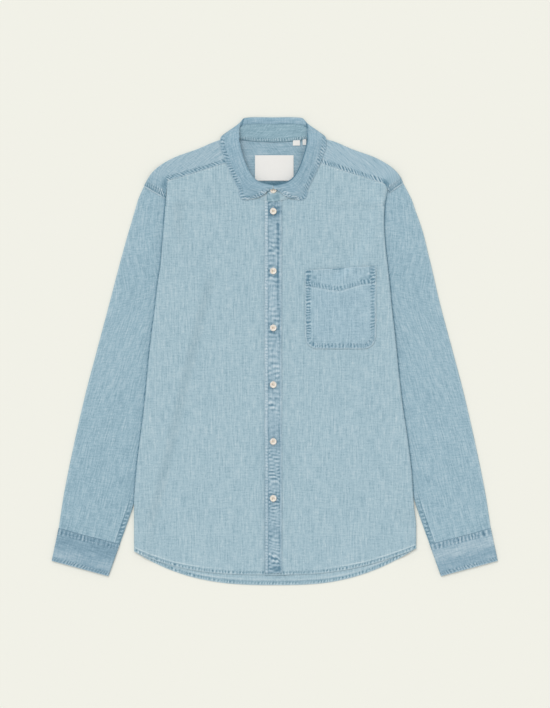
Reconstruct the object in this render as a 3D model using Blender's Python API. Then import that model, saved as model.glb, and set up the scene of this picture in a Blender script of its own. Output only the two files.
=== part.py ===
"""A chambray shirt, buttoned and laid flat on its back with its sleeves down.

X runs to the wearer's left, Y towards the collar and Z up from the surface that it lies on.
Each piece of cloth is a wall laid over the layers below it, one LAYER higher for each.
The sides of the body are folded under, and the sleeves lie below them, folded out again.
Tables are in millimetres. Names ending in _RIGHT and _LEFT are the wearer's own sides.
"""

from collections import namedtuple

import bmesh
import bpy
import numpy as np
from mathutils import Matrix, Vector

# Cloth and the layers that it lies in, in millimetres
CLOTH = 1.2
GAP = 0.3
LAYER = CLOTH + GAP
CUFF_CLOTH = 1.8
COLLAR_CLOTH = 1.6
LABEL_CLOTH = 1.0
OUTER_FOLD = 3 * LAYER / 2 + CLOTH / 2

# The body: the back's top seam, the ramps over the folded sides and the curved hems
CENTRE_X = -2.5
BODY_TOP = 262.8
SIDE_RAMP = 24.0
RAMP_MARGIN = 3.0
HEM_BACK_Y = -398.3
HEM_FRONT_Y = -380.6
HEM_SIDE_Y = -340.0
HEM_HALF_WIDTH = 240.0
HEM_BACK_POWER = 2.7
HEM_FRONT_POWER = {-1: 3.0, 1: 2.1}
LOW_LEVEL = -300.0
FLAP_COLUMNS_BACK = 5
TOP_SHARES = (0.0, 0.3, 0.65)

# The yoke, wrapped over the shoulders: its back seam, and how its columns are spread
YOKE_AIR = 1.0
AIR_ACROSS = (65.0, 110.0)
AIR_UP = (246.0, 254.0)
YOKE_BACKS = (60.0, 85.0, 118.0, 151.0, 163.0, 175.0, 180.5)
YOKE_BACK_SHARES = (0.0, 0.33, 0.66, 1.0)
YOKE_SEAM_SHARES = (0.25, 0.53, 0.82)
YOKE_FRONT_SHARES = (0.3, 0.65, 1.0)
YOKE_BACK_SPREAD = 0.8
YOKE_TIP_SHARES = (0.5, 0.8)
NECK_FOLD = (75.0, 364.4)
NECK_GAP = 1.2
NECK_LAP_SHARE = 0.65

# The buttoned edge
PLACKET_WIDTH = 29.0
PLACKET_TOP_Y = 255.2
PLACKET_END_Y = -377.5
PLACKET_ROWS = 12
PLACKET_COLUMNS = 4
LAP_RAMP = (16.0, 34.0)
BUTTON_SIZE = 11.2
BUTTON_THICK = 2.2
BUTTON_SIDES = 24
HOLE_CIRCLE = 1.7
HOLE_RADIUS = 0.75
HOLE_SIDES = 8
HOLE_DEPTH = 8.0
BUTTON_FIRST_Y = 237.5
BUTTON_SECOND_Y = 136.0
BUTTON_PITCH = 96.6
BUTTONS_BELOW = 5

# The collar: the stand's height and drop under the roll, and the roll itself
LAP = 10.0
LAP_SKEW = 0.2
STAND_DROP = 3.0
STAND_DROP_BACK = 11.0
STAND_GAP = 2.0
STAND_LAP_DROP = 1.8
STAND_SHARES = (0.25, 0.62)
STAND_RISES = ((0.4, 0.5), (0.7, 0.3))
STAND_BUTTON_Y = 272.5
STAND_BUTTON_Z = 6.8
STAND_SLOPE = 5.5
ROLL_HEIGHT = 4.0
ROLL_TOP = 0.4
ROLL_WIDTH = 4.5
FALL_CURVE = ((0.38, 0.78), (0.7, 0.42))
FALL_BOW = 0.8

# The pocket on the left front, and the sleeves' and cuffs' columns
POCKET_LEFT_X = 52.0
POCKET_RIGHT_X = 171.6
POCKET_TOP_LEFT_Y = 137.0
POCKET_TOP_RIGHT_Y = 144.5
POCKET_BOTTOM_Y = 4.0
POCKET_CORNER = 21.0
POCKET_CORNER_ANGLES = (0, 25, 50, 70, 90)
POCKET_LEVELS = (119.0, 80.0, 30.0)
POCKET_AIR = 0.25
TUBE_COLUMNS = 4

CHAMBRAY = (0.36, 0.52, 0.62)
DOUBLED = (0.28, 0.44, 0.54)
LABEL_WHITE = (0.86, 0.85, 0.82)
BUTTON_WHITE = (0.86, 0.80, 0.72)

# The body's side at each level: where the cloth turns under, how wide the flap below is,
# and how many layers of cloth lie under the back there.
Side = namedtuple("Side", "y fold_right fold_left flap pile")
SIDES = (
    Side(262.8, 185.3, 189.2, 7.3, 2),
    Side(246.0, 186.1, 187.3, 7.0, 4),
    Side(222.0, 188.2, 186.0, 9.0, 4),
    Side(196.0, 190.2, 187.0, 15.0, 4),
    Side(170.0, 192.2, 189.3, 28.0, 4),
    Side(146.0, 194.3, 192.0, 46.0, 4),
    Side(119.0, 198.6, 195.0, 72.5, 4),
    Side(80.0, 203.0, 198.8, 67.0, 4),
    Side(30.0, 209.5, 204.5, 62.0, 4),
    Side(-30.0, 216.0, 210.5, 53.0, 4),
    Side(-90.0, 221.5, 217.3, 45.5, 4),
    Side(-150.0, 229.0, 226.3, 39.0, 4),
    Side(-210.0, 236.0, 233.3, 32.0, 4),
    Side(-262.0, 239.3, 236.8, 22.0, 4),
    Side(-300.0, 239.4, 241.0, 13.0, 2),
    Side(-345.0, 239.4, 241.0, 8.0, 2),
)

# The lines between which the yoke rises over the head of the sleeve
Rise = namedtuple("Rise", "y start end")
RISES = (Rise(335.0, 176.0, 224.0), Rise(303.0, 164.0, 209.0), Rise(BODY_TOP, 151.0, 175.0))

# The front yoke seam and the armhole's end of it, on each side
Corner = namedtuple("Corner", "bend_x bend_y tip_x tip_y shoulder_x shoulder_y")
CORNER_RIGHT = Corner(182.2, 289.0, 185.3, 263.2, 220.8, 283.5)
CORNER_LEFT = Corner(187.5, 283.9, 193.6, 272.5, 217.0, 288.7)
SHOULDER_LINE = ((100.0, 356.5), (131.0, 343.4), (172.0, 328.3), (195.0, 315.0))
SHOULDER_END = ((208.0, 303.5), (214.5, 294.5))

# The sleeve's two edges, row by row: the armhole and then the underarm, and the outer fold
Row = namedtuple("Row", "in_x in_y out_x out_y")
SLEEVE = (
    Row(125.3, 119.0, 279.8, 86.7),
    Row(154.0, 24.0, 301.5, 5.0),
    Row(182.0, -70.0, 322.5, -75.0),
    Row(211.0, -166.0, 341.5, -158.0),
    Row(240.5, -264.0, 359.0, -245.0),
    Row(263.0, -328.0, 367.5, -300.5),
)
CAP_RIGHT = (
    Row(208.0, 286.0, 217.5, 290.0),
    Row(195.5, 278.0, 225.5, 273.7),
    Row(182.0, 270.0, 232.6, 256.7),
    Row(180.2, 246.0, 238.8, 236.0),
    Row(179.8, 222.0, 244.0, 218.0),
    Row(175.8, 196.0, 250.6, 196.0),
    Row(164.8, 170.0, 259.0, 166.0),
    Row(148.8, 146.0, 266.0, 140.0),
)
CAP_LEFT = (
    Row(206.0, 290.5, 215.5, 291.5),
    Row(197.0, 283.5, 225.0, 273.7),
    Row(188.0, 275.0, 233.4, 256.7),
    Row(181.0, 246.0, 240.6, 236.0),
    Row(177.6, 222.0, 247.2, 218.0),
    Row(172.6, 196.0, 254.0, 196.0),
    Row(161.9, 170.0, 261.2, 166.0),
    Row(146.5, 146.0, 267.6, 140.0),
)
CUFF = (Row(263.2, -328.4, 367.6, -300.9), Row(282.8, -383.0, 379.5, -356.8))

# The collar at each station from the centre back round to the centre front
Station = namedtuple("Station", "seam_x seam_y roll_x roll_y roll_z edge_x edge_y edge_z")
COLLAR = (
    Station(0.0, 358.0, 0.0, 396.9, 3.2, 0.0, 365.5, 0.8),
    Station(31.0, 359.5, 31.5, 397.2, 3.2, 34.0, 366.5, 0.8),
    Station(50.0, 361.6, 48.6, 395.8, 3.6, 58.0, 369.0, 0.8),
    Station(62.0, 363.4, 55.2, 388.0, 5.6, 79.0, 370.0, 0.8),
    Station(72.5, 363.8, 57.0, 375.7, 8.8, 90.0, 360.2, 4.6),
    Station(74.5, 351.9, 57.0, 360.4, 11.0, 90.0, 347.5, 5.2),
    Station(74.4, 338.3, 54.0, 345.1, 12.0, 85.0, 333.0, 5.0),
    Station(71.5, 322.5, 49.3, 328.1, 12.0, 77.4, 312.8, 4.4),
    Station(64.0, 300.9, 42.5, 311.1, 11.5, 68.9, 295.0, 4.2),
    Station(50.0, 278.8, 33.2, 295.8, 11.0, 60.0, 276.5, 4.2),
    Station(27.0, 263.0, 19.6, 286.6, 10.6, 55.3, 260.0, 4.4),
    Station(3.0, 256.6, 4.2, 282.2, 10.4, 47.5, 256.0, 4.6),
)
# Where the fall's outer leaf stands at the centre front, from the roll to the edge: x and y
LEAF_FRONT = ((5.4, 274.0), (11.0, 267.5), (26.0, 261.0))

# Labels, blank: x from and to, y from the top down
Label = namedtuple("Label", "name left right top bottom")
LABELS = (
    Label("neck_label", -33.5, 32.0, 333.0, 289.8),
    Label("size_label", 31.0, 43.0, 358.6, 349.5),
    Label("care_label", 47.5, 53.5, 360.5, 350.5),
)

# Half of the button's outline, turned about its axis, as shares of its radius and thickness
BUTTON_PROFILE = (
    (0.0, 0.0), (0.8, 0.0), (1.0, 0.3), (1.0, 0.75), (0.88, 1.0), (0.7, 0.92), (0.62, 0.65), (0.0, 0.6),
)


def finish(name, colour, roughness):
    """A Principled material with the piece's colour and roughness."""
    material = bpy.data.materials.new(name)
    material.use_nodes = True
    shader = material.node_tree.nodes["Principled BSDF"]
    shader.inputs["Base Color"].default_value = (*colour, 1.0)
    shader.inputs["Roughness"].default_value = roughness
    shader.inputs["Metallic"].default_value = 0.0
    return material


def faces_of(rows, joined_from):
    """Quads between neighbouring points of a grid, where None leaves a place empty.

    From row joined_from on, the last column joins the first, as round a tube.
    """
    number = {}
    points = []
    for i, row in enumerate(rows):
        for j, point in enumerate(row):
            if point is not None:
                number[i, j] = len(points)
                points.append(Vector(point))
    faces = []
    for i in range(len(rows) - 1):
        columns = [(j, j + 1) for j in range(len(rows[i]) - 1)]
        if joined_from is not None and i >= joined_from:
            columns.append((len(rows[i]) - 1, 0))
        for j, k in columns:
            corners = [(i, j), (i, k), (i + 1, k), (i + 1, j)]
            if all(corner in number for corner in corners):
                faces.append([number[corner] for corner in corners])
    return points, faces


def halves_of(face, points):
    """The two triangles of a quad, cut from its outermost high corner.

    Layers that share their points are cut alike, so they stay parallel.
    """
    first = max(range(4), key=lambda n: abs(points[face[n]].x) + points[face[n]].y)
    a, b, c, d = face[first:] + face[:first]
    return (a, b, c), (a, c, d)


def wall(name, rows, thickness, colour, joined_from=None):
    """A wall of cloth of this thickness, half of it on each side of the grid's surface."""
    points, faces = faces_of(rows, joined_from)
    normals = [Vector() for _ in points]
    for face in faces:
        a, b, c, d = (points[k] for k in face)
        across = (c - a).cross(d - b)
        for k in face:
            normals[k] += across.normalized()
    used = sorted({k for face in faces for k in face})
    upper = {}
    lower = {}
    vertices = []
    for k in used:
        step = normals[k].normalized() * thickness / 2
        upper[k] = len(vertices)
        lower[k] = len(vertices) + 1
        vertices += [points[k] + step, points[k] - step]
    solid = []
    edges = set()
    for face in faces:
        for corners in halves_of(face, points):
            solid.append([upper[k] for k in corners])
            solid.append([lower[k] for k in reversed(corners)])
        edges.update(zip(face, face[1:] + face[:1]))
    for a, b in edges:
        if (b, a) not in edges:
            solid.append([upper[b], upper[a], lower[a], lower[b]])
    mesh = bpy.data.meshes.new(name)
    mesh.from_pydata([v / 1000 for v in vertices], [], solid)
    mesh.update()
    piece = bpy.data.objects.new(name, mesh)
    bpy.context.collection.objects.link(piece)
    mesh.materials.append(finish(name + "_cloth", colour, 0.9))
    return piece


def along(rows, column, y):
    """A table's column at this height, in a straight line between rows."""
    heights = [row.y for row in rows]
    values = [getattr(row, column) for row in rows]
    return float(np.interp(-y, [-h for h in heights], values))


def fold_at(side, y):
    return along(SIDES, "fold_left" if side > 0 else "fold_right", y)


def ramp_at(side, y):
    """Where the back and the fronts start to rise over what is folded under them, and stop."""
    if y > BODY_TOP:
        return along(RISES, "start", y), along(RISES, "end", y)
    if y > SIDES[1].y:
        low = ramp_at(side, SIDES[1].y)
        share = (y - SIDES[1].y) / (BODY_TOP - SIDES[1].y)
        return tuple(a + (b - a) * share for a, b in zip(low, (RISES[-1].start, RISES[-1].end)))
    end = fold_at(side, y) - along(SIDES, "flap", y) - RAMP_MARGIN
    return end - SIDE_RAMP, end


def lift(x, y):
    """How far the back is raised above the surface it lies on."""
    side = 1 if x > 0 else -1
    start, end = ramp_at(side, y)
    share = min(1.0, max(0.0, (abs(x) - start) / (end - start)))
    return share * along(SIDES, "pile", y) * LAYER


def lerp(a, b, share):
    return tuple(p + (q - p) * share for p, q in zip(a, b))



def hem_y(x, middle, power):
    """The curved hem: lowest at the middle, rising to the side seams."""
    share = min(1.0, abs(x) / HEM_HALF_WIDTH)
    return middle + (HEM_SIDE_Y - middle) * share**power


def row_y(x, level, share, middle, power):
    """The height of a row at x: level, or this share of the way from there to the hem."""
    return level + (hem_y(x, middle, power) - level) * share


def body_rows():
    """The level and the share of the way to the hem of each row, from the flaps' top down."""
    levels = [(row.y, 0.0) for row in SIDES[1:-1]]
    return levels + [(LOW_LEVEL, 0.5), (LOW_LEVEL, 1.0)]


def turn_under(side, level, upper, lower, steps, tuck):
    """Spots (x, z) round the fold and along the flap under it.

    upper and lower are the layers that the fold joins, counted from the back's own.
    """
    pile = along(SIDES, "pile", level)
    top = (pile + upper) * LAYER + CLOTH / 2
    bottom = (pile + lower) * LAYER + CLOTH / 2
    radius = (top - bottom) / 2
    centre = fold_at(side, level) - OUTER_FOLD
    spots = []
    for k in range(1, steps + 1):
        angle = np.pi / 2 - np.pi * k / steps
        out = (radius + tuck) * np.cos(angle)
        spots.append((centre + out, (top + bottom) / 2 + radius * np.sin(angle)))
    seam = fold_at(side, level) - along(SIDES, "flap", level)
    spots.append(((centre + seam) / 2, bottom))
    spots.append((seam, bottom))
    return [(side * x, z) for x, z in spots]


def make_back():
    rows = []
    for level, share in [(BODY_TOP, 0.0)] + body_rows():
        halves = []
        for side in (-1, 1):
            start, end = ramp_at(side, level)
            crest = fold_at(side, level) - OUTER_FOLD
            xs = [side * x for x in (start * 0.5, start, end, (end + crest) / 2, crest)]
            half = [(x, lift(x, level) + CLOTH / 2) for x in xs]
            if level < BODY_TOP:
                half += turn_under(side, level, 0, -1, 3, 0.0)
            half = [(x, row_y(x, level, share, HEM_BACK_Y, HEM_BACK_POWER), z) for x, z in half]
            half += [None] * (len(xs) + FLAP_COLUMNS_BACK - len(half))
            halves.append(half)
        middle = (0.0, row_y(0.0, level, share, HEM_BACK_Y, HEM_BACK_POWER), CLOTH / 2)
        rows.append(halves[0][::-1] + [middle] + halves[1])
    wall("back", rows, CLOTH, CHAMBRAY)


def neck_edge(number, side):
    """The cut edge of the yoke and the fronts round the neck, just outside the stand."""
    station = COLLAR[number]
    seam = np.array((station.seam_x, station.seam_y))
    lean = np.array((station.roll_x, station.roll_y)) - seam
    x, y = seam - lean / np.linalg.norm(lean) * NECK_GAP
    return x + side * CENTRE_X, y


def air(x, y):
    """The shoulder's front lies a little looser on the back than one layer."""
    across = float(np.interp(x, AIR_ACROSS, (0.0, 1.0)))
    return YOKE_AIR * across * float(np.interp(y, AIR_UP, (0.0, 1.0)))


def front_z(side, x, y):
    """Middle of a front's cloth. x runs outwards from the centre on the front's own side."""
    layers = 1.0
    if side > 0:
        layers += float(np.interp(x, LAP_RAMP, (1.0, 0.0)))
    return lift(side * x, y) + air(x, y) + layers * LAYER + CLOTH / 2


def make_front(name, side, corner):
    """One front: its rows run down from the neck and the yoke seam to the hem."""
    edge = side * CENTRE_X - PLACKET_WIDTH / 2
    neck = [neck_edge(number, side) for number in (11, 10, 9, 8, 7)]
    neck.insert(1, lerp(neck[0], neck[1], NECK_LAP_SHARE))
    seam_end = (corner.bend_x, corner.bend_y)
    tip = (corner.tip_x - GAP * 2, corner.tip_y)
    top = [(edge, neck[0][1])] + neck
    top += [lerp(neck[-1], seam_end, share) for share in YOKE_SEAM_SHARES]
    top += [seam_end, lerp(seam_end, tip, 0.5), tip]
    top = [(x, y - GAP) for x, y in top]
    inner = len(top) - 4
    rows = []
    for level, share in body_rows():
        start, end = ramp_at(side, level)
        crest = fold_at(side, level) - OUTER_FOLD
        xs = [edge, 0.0, LAP_RAMP[0]]
        xs += [LAP_RAMP[1] + (start - LAP_RAMP[1]) * k / (inner - 3) for k in range(inner - 3)]
        xs += [start, end, (end + crest) / 2, crest]
        row = []
        for x in xs:
            y = row_y(x, level, share, HEM_FRONT_Y, HEM_FRONT_POWER[side])
            row.append((side * x, y, front_z(side, x, level)))
        for x, z in turn_under(side, level, 1, -2, 4, 0.25):
            row.append((x, row_y(x, level, share, HEM_FRONT_Y, HEM_FRONT_POWER[side]), z))
        rows.append(row)
    low = [(side * x, y) for x, y, _ in rows[0][: len(top)]]
    upper = []
    for share in TOP_SHARES:
        row = []
        for a, b in zip(top, low):
            x, y = lerp(a, b, share)
            row.append((side * x, y, front_z(side, x, y)))
        upper.append(row + [None] * (len(rows[0]) - len(row)))
    wall(name, upper + rows, CLOTH, CHAMBRAY)


def yoke_half(side, corner):
    """Columns from the neck to the armhole: the back seam, the fold's end and the front's rows."""
    neck = [neck_edge(number, side) for number in (5, 6, 7)]
    seam_end = (corner.bend_x, corner.bend_y)
    tip = (corner.tip_x, corner.tip_y)
    folds = [(NECK_FOLD[0] + side * CENTRE_X, NECK_FOLD[1]), *SHOULDER_LINE, *SHOULDER_END]
    folds.append((corner.shoulder_x, corner.shoulder_y))
    fronts = [neck[-1]] + [lerp(neck[-1], seam_end, share) for share in YOKE_SEAM_SHARES]
    fronts += [seam_end] + [lerp(seam_end, tip, share) for share in YOKE_TIP_SHARES] + [tip]
    backs = [*YOKE_BACKS, fold_at(side, BODY_TOP) - 1.0]
    columns = []
    for number, (fold, front, back) in enumerate(zip(folds, fronts, backs)):
        fold, front, back = (np.array(v) for v in (fold, front, (back, BODY_TOP + GAP * 2)))
        outward = (fold - front) / np.linalg.norm(fold - front)
        centre = fold - outward * (LAYER / 2 + CLOTH / 2)
        column = [lerp(back, centre, share) for share in YOKE_BACK_SHARES]
        column = [(x, y, lift(side * x, y) + CLOTH / 2) for x, y in column]
        base = column[-1][2]
        step = LAYER + air(*centre)
        middle = centre + outward * step / 2
        column.append((*middle, base + step / 2))
        ends = [centre] + [lerp(centre, front, share) for share in YOKE_FRONT_SHARES]
        if number == 0:
            ends[1:] = neck
        column += [(x, y, lift(side * x, y) + LAYER + air(x, y) + CLOTH / 2) for x, y in ends]
        columns.append([(side * x, y, z) for x, y, z in column])
    return columns


def make_yoke():
    right = yoke_half(-1, CORNER_RIGHT)
    left = yoke_half(1, CORNER_LEFT)
    height = len(left[0])
    middle = []
    for side, numbers in ((-1, (3, 2, 1)), (1, (0, 1, 2, 3))):
        for number in numbers:
            x, y = neck_edge(number, side)
            bottom = (side * x * YOKE_BACK_SPREAD, BODY_TOP + GAP * 2)
            spots = [lerp(bottom, (side * x, y), share) for share in YOKE_BACK_SHARES]
            column = [(u, v, CLOTH / 2) for u, v in spots]
            middle.append(column + [None] * (height - len(column)))
    columns = right[::-1] + middle + left
    rows = [[column[i] for column in columns] for i in range(height)]
    wall("yoke", rows, CLOTH, DOUBLED)


def tube_row(row, side, cloth, joined):
    """Round a flattened tube: along its upper layer, round the outer fold and back below."""
    inner = np.array((row.in_x, row.in_y))
    outer = np.array((row.out_x, row.out_y))
    out = (outer - inner) / np.linalg.norm(outer - inner)
    radius = (cloth + GAP) / 2
    low = cloth / 2
    high = low + cloth + GAP
    turn = outer - out * (radius + cloth / 2)
    begin = inner + out * (radius + cloth / 2) if joined else inner
    spots = [lerp(begin, turn, k / (TUBE_COLUMNS - 1)) for k in range(TUBE_COLUMNS)]
    ring = [(*spot, high) for spot in spots]
    ring.append((*(turn + out * radius), (high + low) / 2))
    ring += [(*spot, low) for spot in reversed(spots)]
    ring.append((*(begin - out * radius), (high + low) / 2) if joined else None)
    return [None if p is None else (side * p[0], p[1], p[2]) for p in ring]


def make_sleeve(name, side, cap):
    rows = [tube_row(row, side, CLOTH, False) for row in cap]
    rows += [tube_row(row, side, CLOTH, True) for row in SLEEVE]
    wall(name, rows, CLOTH, CHAMBRAY, joined_from=len(cap))


def make_cuff(name, side):
    top, bottom = CUFF
    middle = Row(*lerp(top, bottom, 0.5))
    rows = [tube_row(row, side, CUFF_CLOTH, True) for row in (top, middle, bottom)]
    wall(name, rows, CUFF_CLOTH, DOUBLED, joined_from=0)


def make_placket():
    edge = CENTRE_X - PLACKET_WIDTH / 2
    z = 3 * LAYER + CLOTH / 2
    ys = np.linspace(PLACKET_TOP_Y, PLACKET_END_Y, PLACKET_ROWS)
    xs = np.linspace(edge, edge + PLACKET_WIDTH, PLACKET_COLUMNS)
    wall("placket", [[(x, y, z) for x in xs] for y in ys], CLOTH, DOUBLED)


def pocket_side(y):
    """How far the pocket's rounded corner draws its side in at this height."""
    up = y - POCKET_BOTTOM_Y
    if up >= POCKET_CORNER:
        return 0.0
    return POCKET_CORNER - (POCKET_CORNER**2 - (POCKET_CORNER - up) ** 2) ** 0.5


def make_pocket():
    corner_steps = [POCKET_CORNER * (1 - np.sin(angle)) for angle in np.radians(POCKET_CORNER_ANGLES)]
    rows = []
    for level in [None, *POCKET_LEVELS] + [POCKET_BOTTOM_Y + step for step in corner_steps]:
        spot = POCKET_TOP_RIGHT_Y if level is None else level
        start, end = ramp_at(1, spot)
        left = POCKET_LEFT_X + pocket_side(spot)
        right = POCKET_RIGHT_X - pocket_side(spot)
        row = []
        for x in (left, (left + start) / 2, start, end, (end + right) / 2, right):
            y = spot
            if level is None:
                across = (x - POCKET_LEFT_X) / (POCKET_RIGHT_X - POCKET_LEFT_X)
                y = POCKET_TOP_LEFT_Y + (POCKET_TOP_RIGHT_Y - POCKET_TOP_LEFT_Y) * across
            row.append((x, y, front_z(1, x, y) + LAYER + POCKET_AIR))
        rows.append(row)
    wall("pocket", rows, CLOTH, DOUBLED)


def collar_frame(number):
    """The points of one station that the stand and the fall share."""
    station = COLLAR[number]
    flat = float(np.interp(number, (2, 3, 4, 5), (1.0, 0.6, 0.2, 0.0)))
    seam = np.array((station.seam_x, station.seam_y, 0.0))
    roll = np.array((station.roll_x, station.roll_y, station.roll_z))
    edge = np.array((station.edge_x, station.edge_y, station.edge_z))
    lean = roll - seam
    lean[2] = 0.0
    lean /= np.linalg.norm(lean)
    begin = roll - lean * (STAND_DROP + (STAND_DROP_BACK - STAND_DROP) * flat)
    begin[2] = roll[2] - ROLL_HEIGHT * (1 - flat) + ROLL_TOP * flat
    return flat, seam, roll, edge, begin


def seam_z(number, side):
    """Middle of the cloth that the stand is sewn to."""
    if number < 4:
        return CLOTH / 2
    if number == 4:
        return (LAYER + CLOTH) / 2
    if number < 8:
        return LAYER + CLOTH / 2 + GAP
    if side < 0:
        return LAYER + CLOTH / 2
    return LAYER * float(np.interp(number, (9, 10), (1.0, 2.0))) + CLOTH / 2


def stand_column(number, side):
    flat, seam, _, _, begin = collar_frame(number)
    seam[2] = seam_z(number, side)
    drop = STAND_LAP_DROP * float(np.interp(number, (8, 10), (0.0, 1.0))) if side < 0 else 0.0
    top = begin + (seam - begin) / np.linalg.norm(seam - begin) * STAND_GAP
    top[2] -= drop
    column = [seam]
    for share, (rise, more) in zip(STAND_SHARES, STAND_RISES):
        spot = seam + (top - seam) * share
        spot[2] = seam[2] + (top[2] - seam[2]) * (rise + more * flat)
        column.append(spot)
    return column + [top]


def mirrored(points, side):
    return [None if p is None else (CENTRE_X + side * p[0], p[1], p[2]) for p in points]


def make_stand():
    columns = []
    for side in (-1, 1):
        half = [stand_column(number, side) for number in range(len(COLLAR))]
        lap = [np.array((-LAP, p[1] - LAP_SKEW, p[2])) for p in half[-1]]
        half = [mirrored(column, side) for column in half + [lap]]
        columns += half[::-1] if side < 0 else half[1:]
    rows = [[column[i] for column in columns] for i in range(len(columns[0]))]
    wall("collar_stand", rows, CLOTH, DOUBLED)


def fall_column(number):
    flat, _, roll, edge, begin = collar_frame(number)
    away = edge - roll
    away[2] = 0.0
    away /= np.linalg.norm(away)
    before = begin + (roll - begin) * 0.6
    before[2] = roll[2] + 0.5 * flat - 0.6 * (1 - flat)
    after = roll + away * ROLL_WIDTH * (1 - flat / 3)
    after[2] = roll[2] + (edge[2] - roll[2]) * flat - 0.9 * (1 - flat)
    bow = np.array((-away[1], away[0], 0.0)) * FALL_BOW * 4 * flat * (1 - flat)
    spots = []
    for share, height in FALL_CURVE:
        spot = roll + (edge - roll) * share + bow
        spot[2] = edge[2] + (roll[2] - edge[2]) * height * (1 - flat)
        spots.append(spot)
    crest = roll.copy()
    crest[2] += ROLL_TOP * (1 - flat) - 1.1 * flat
    return [begin, before, crest, after, *spots, edge]


def make_fall():
    columns = []
    for side in (-1, 1):
        half = [fall_column(number) for number in range(len(COLLAR))]
        front = half[-1]
        for k, (x, y) in zip((3, 4, 5), LEAF_FRONT):
            front[k][0] = x
            front[k][1] = y
        half = [mirrored(column, side) for column in half]
        columns += half[::-1] if side < 0 else half[1:]
    rows = [[column[i] for column in columns] for i in range(len(columns[0]))]
    wall("collar_fall", rows, COLLAR_CLOTH, DOUBLED)


def make_label(label):
    """A small blank label lying on the yoke inside the neck."""
    z = CLOTH + GAP + LABEL_CLOTH / 2
    rows = [[(label.left, y, z), (label.right, y, z)] for y in (label.top, label.bottom)]
    wall(label.name, rows, LABEL_CLOTH, LABEL_WHITE)


def button_mesh():
    """A turned button with a rim, a dished middle and four holes."""
    radius = BUTTON_SIZE / 2
    ring = [(radius * r, BUTTON_THICK * z) for r, z in BUTTON_PROFILE]
    mesh = bpy.data.meshes.new("button")
    shape = bmesh.new()
    points = [shape.verts.new((r / 1000, 0.0, z / 1000)) for r, z in ring]
    edges = [shape.edges.new(pair) for pair in zip(points, points[1:])]
    bmesh.ops.spin(
        shape, geom=points + edges, cent=(0, 0, 0), axis=(0, 0, 1), angle=2 * np.pi,
        steps=BUTTON_SIDES, use_duplicate=False)
    bmesh.ops.remove_doubles(shape, verts=shape.verts, dist=1e-6)
    bmesh.ops.recalc_face_normals(shape, faces=shape.faces)
    shape.to_mesh(mesh)
    shape.free()
    return mesh


def hole_cutter():
    """The four holes' cutter, square round the button's middle."""
    shape = bmesh.new()
    for quarter in range(4):
        angle = np.pi / 4 + quarter * np.pi / 2
        spot = Vector((HOLE_CIRCLE * np.cos(angle), HOLE_CIRCLE * np.sin(angle), BUTTON_THICK / 2)) / 1000
        bmesh.ops.create_cone(
            shape, cap_ends=True, segments=HOLE_SIDES, radius1=HOLE_RADIUS / 1000,
            radius2=HOLE_RADIUS / 1000, depth=HOLE_DEPTH / 1000, matrix=Matrix.Translation(spot))
    mesh = bpy.data.meshes.new("button_holes")
    shape.to_mesh(mesh)
    shape.free()
    cutter = bpy.data.objects.new("button_holes", mesh)
    bpy.context.collection.objects.link(cutter)
    cutter.hide_render = True
    cutter.display_type = "WIRE"
    return cutter


def pierced_button():
    """The button's mesh with its holes cut."""
    blank = bpy.data.objects.new("button_blank", button_mesh())
    bpy.context.collection.objects.link(blank)
    cutter = hole_cutter()
    cut = blank.modifiers.new("holes", "BOOLEAN")
    cut.operation = "DIFFERENCE"
    cut.solver = "EXACT"
    cut.object = cutter
    evaluated = blank.evaluated_get(bpy.context.evaluated_depsgraph_get())
    mesh = bpy.data.meshes.new_from_object(evaluated)
    bpy.data.objects.remove(blank, do_unlink=True)
    bpy.data.objects.remove(cutter, do_unlink=True)
    mesh.shade_smooth()
    mesh.set_sharp_from_angle(angle=np.radians(35))
    mesh.materials.clear()
    mesh.materials.append(finish("button_resin", BUTTON_WHITE, 0.35))
    return mesh


def make_buttons():
    mesh = pierced_button()
    on_placket = 3 * LAYER + CLOTH + GAP
    ys = [BUTTON_FIRST_Y] + [BUTTON_SECOND_Y - BUTTON_PITCH * k for k in range(BUTTONS_BELOW)]
    spots = [(STAND_BUTTON_Y, STAND_BUTTON_Z)] + [(y, on_placket) for y in ys]
    for number, (y, z) in enumerate(spots, start=1):
        button = bpy.data.objects.new(f"button_{number}", mesh)
        button.rotation_euler.x = np.radians(STAND_SLOPE) if number == 1 else 0.0
        button.location = (CENTRE_X / 1000, y / 1000, z / 1000)
        bpy.context.collection.objects.link(button)


def clear_scene():
    for thing in list(bpy.data.objects):
        bpy.data.objects.remove(thing, do_unlink=True)


clear_scene()
make_back()
make_yoke()
make_front("front_right", -1, CORNER_RIGHT)
make_front("front_left", 1, CORNER_LEFT)
make_placket()
make_sleeve("sleeve_right", -1, CAP_RIGHT)
make_sleeve("sleeve_left", 1, CAP_LEFT)
make_cuff("cuff_right", -1)
make_cuff("cuff_left", 1)
make_pocket()
make_stand()
make_fall()
for each in LABELS:
    make_label(each)
make_buttons()
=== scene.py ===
import math
import bmesh
import bpy
import numpy as np
from mathutils import Matrix, Vector
from mathutils.bvhtree import BVHTree


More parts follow.
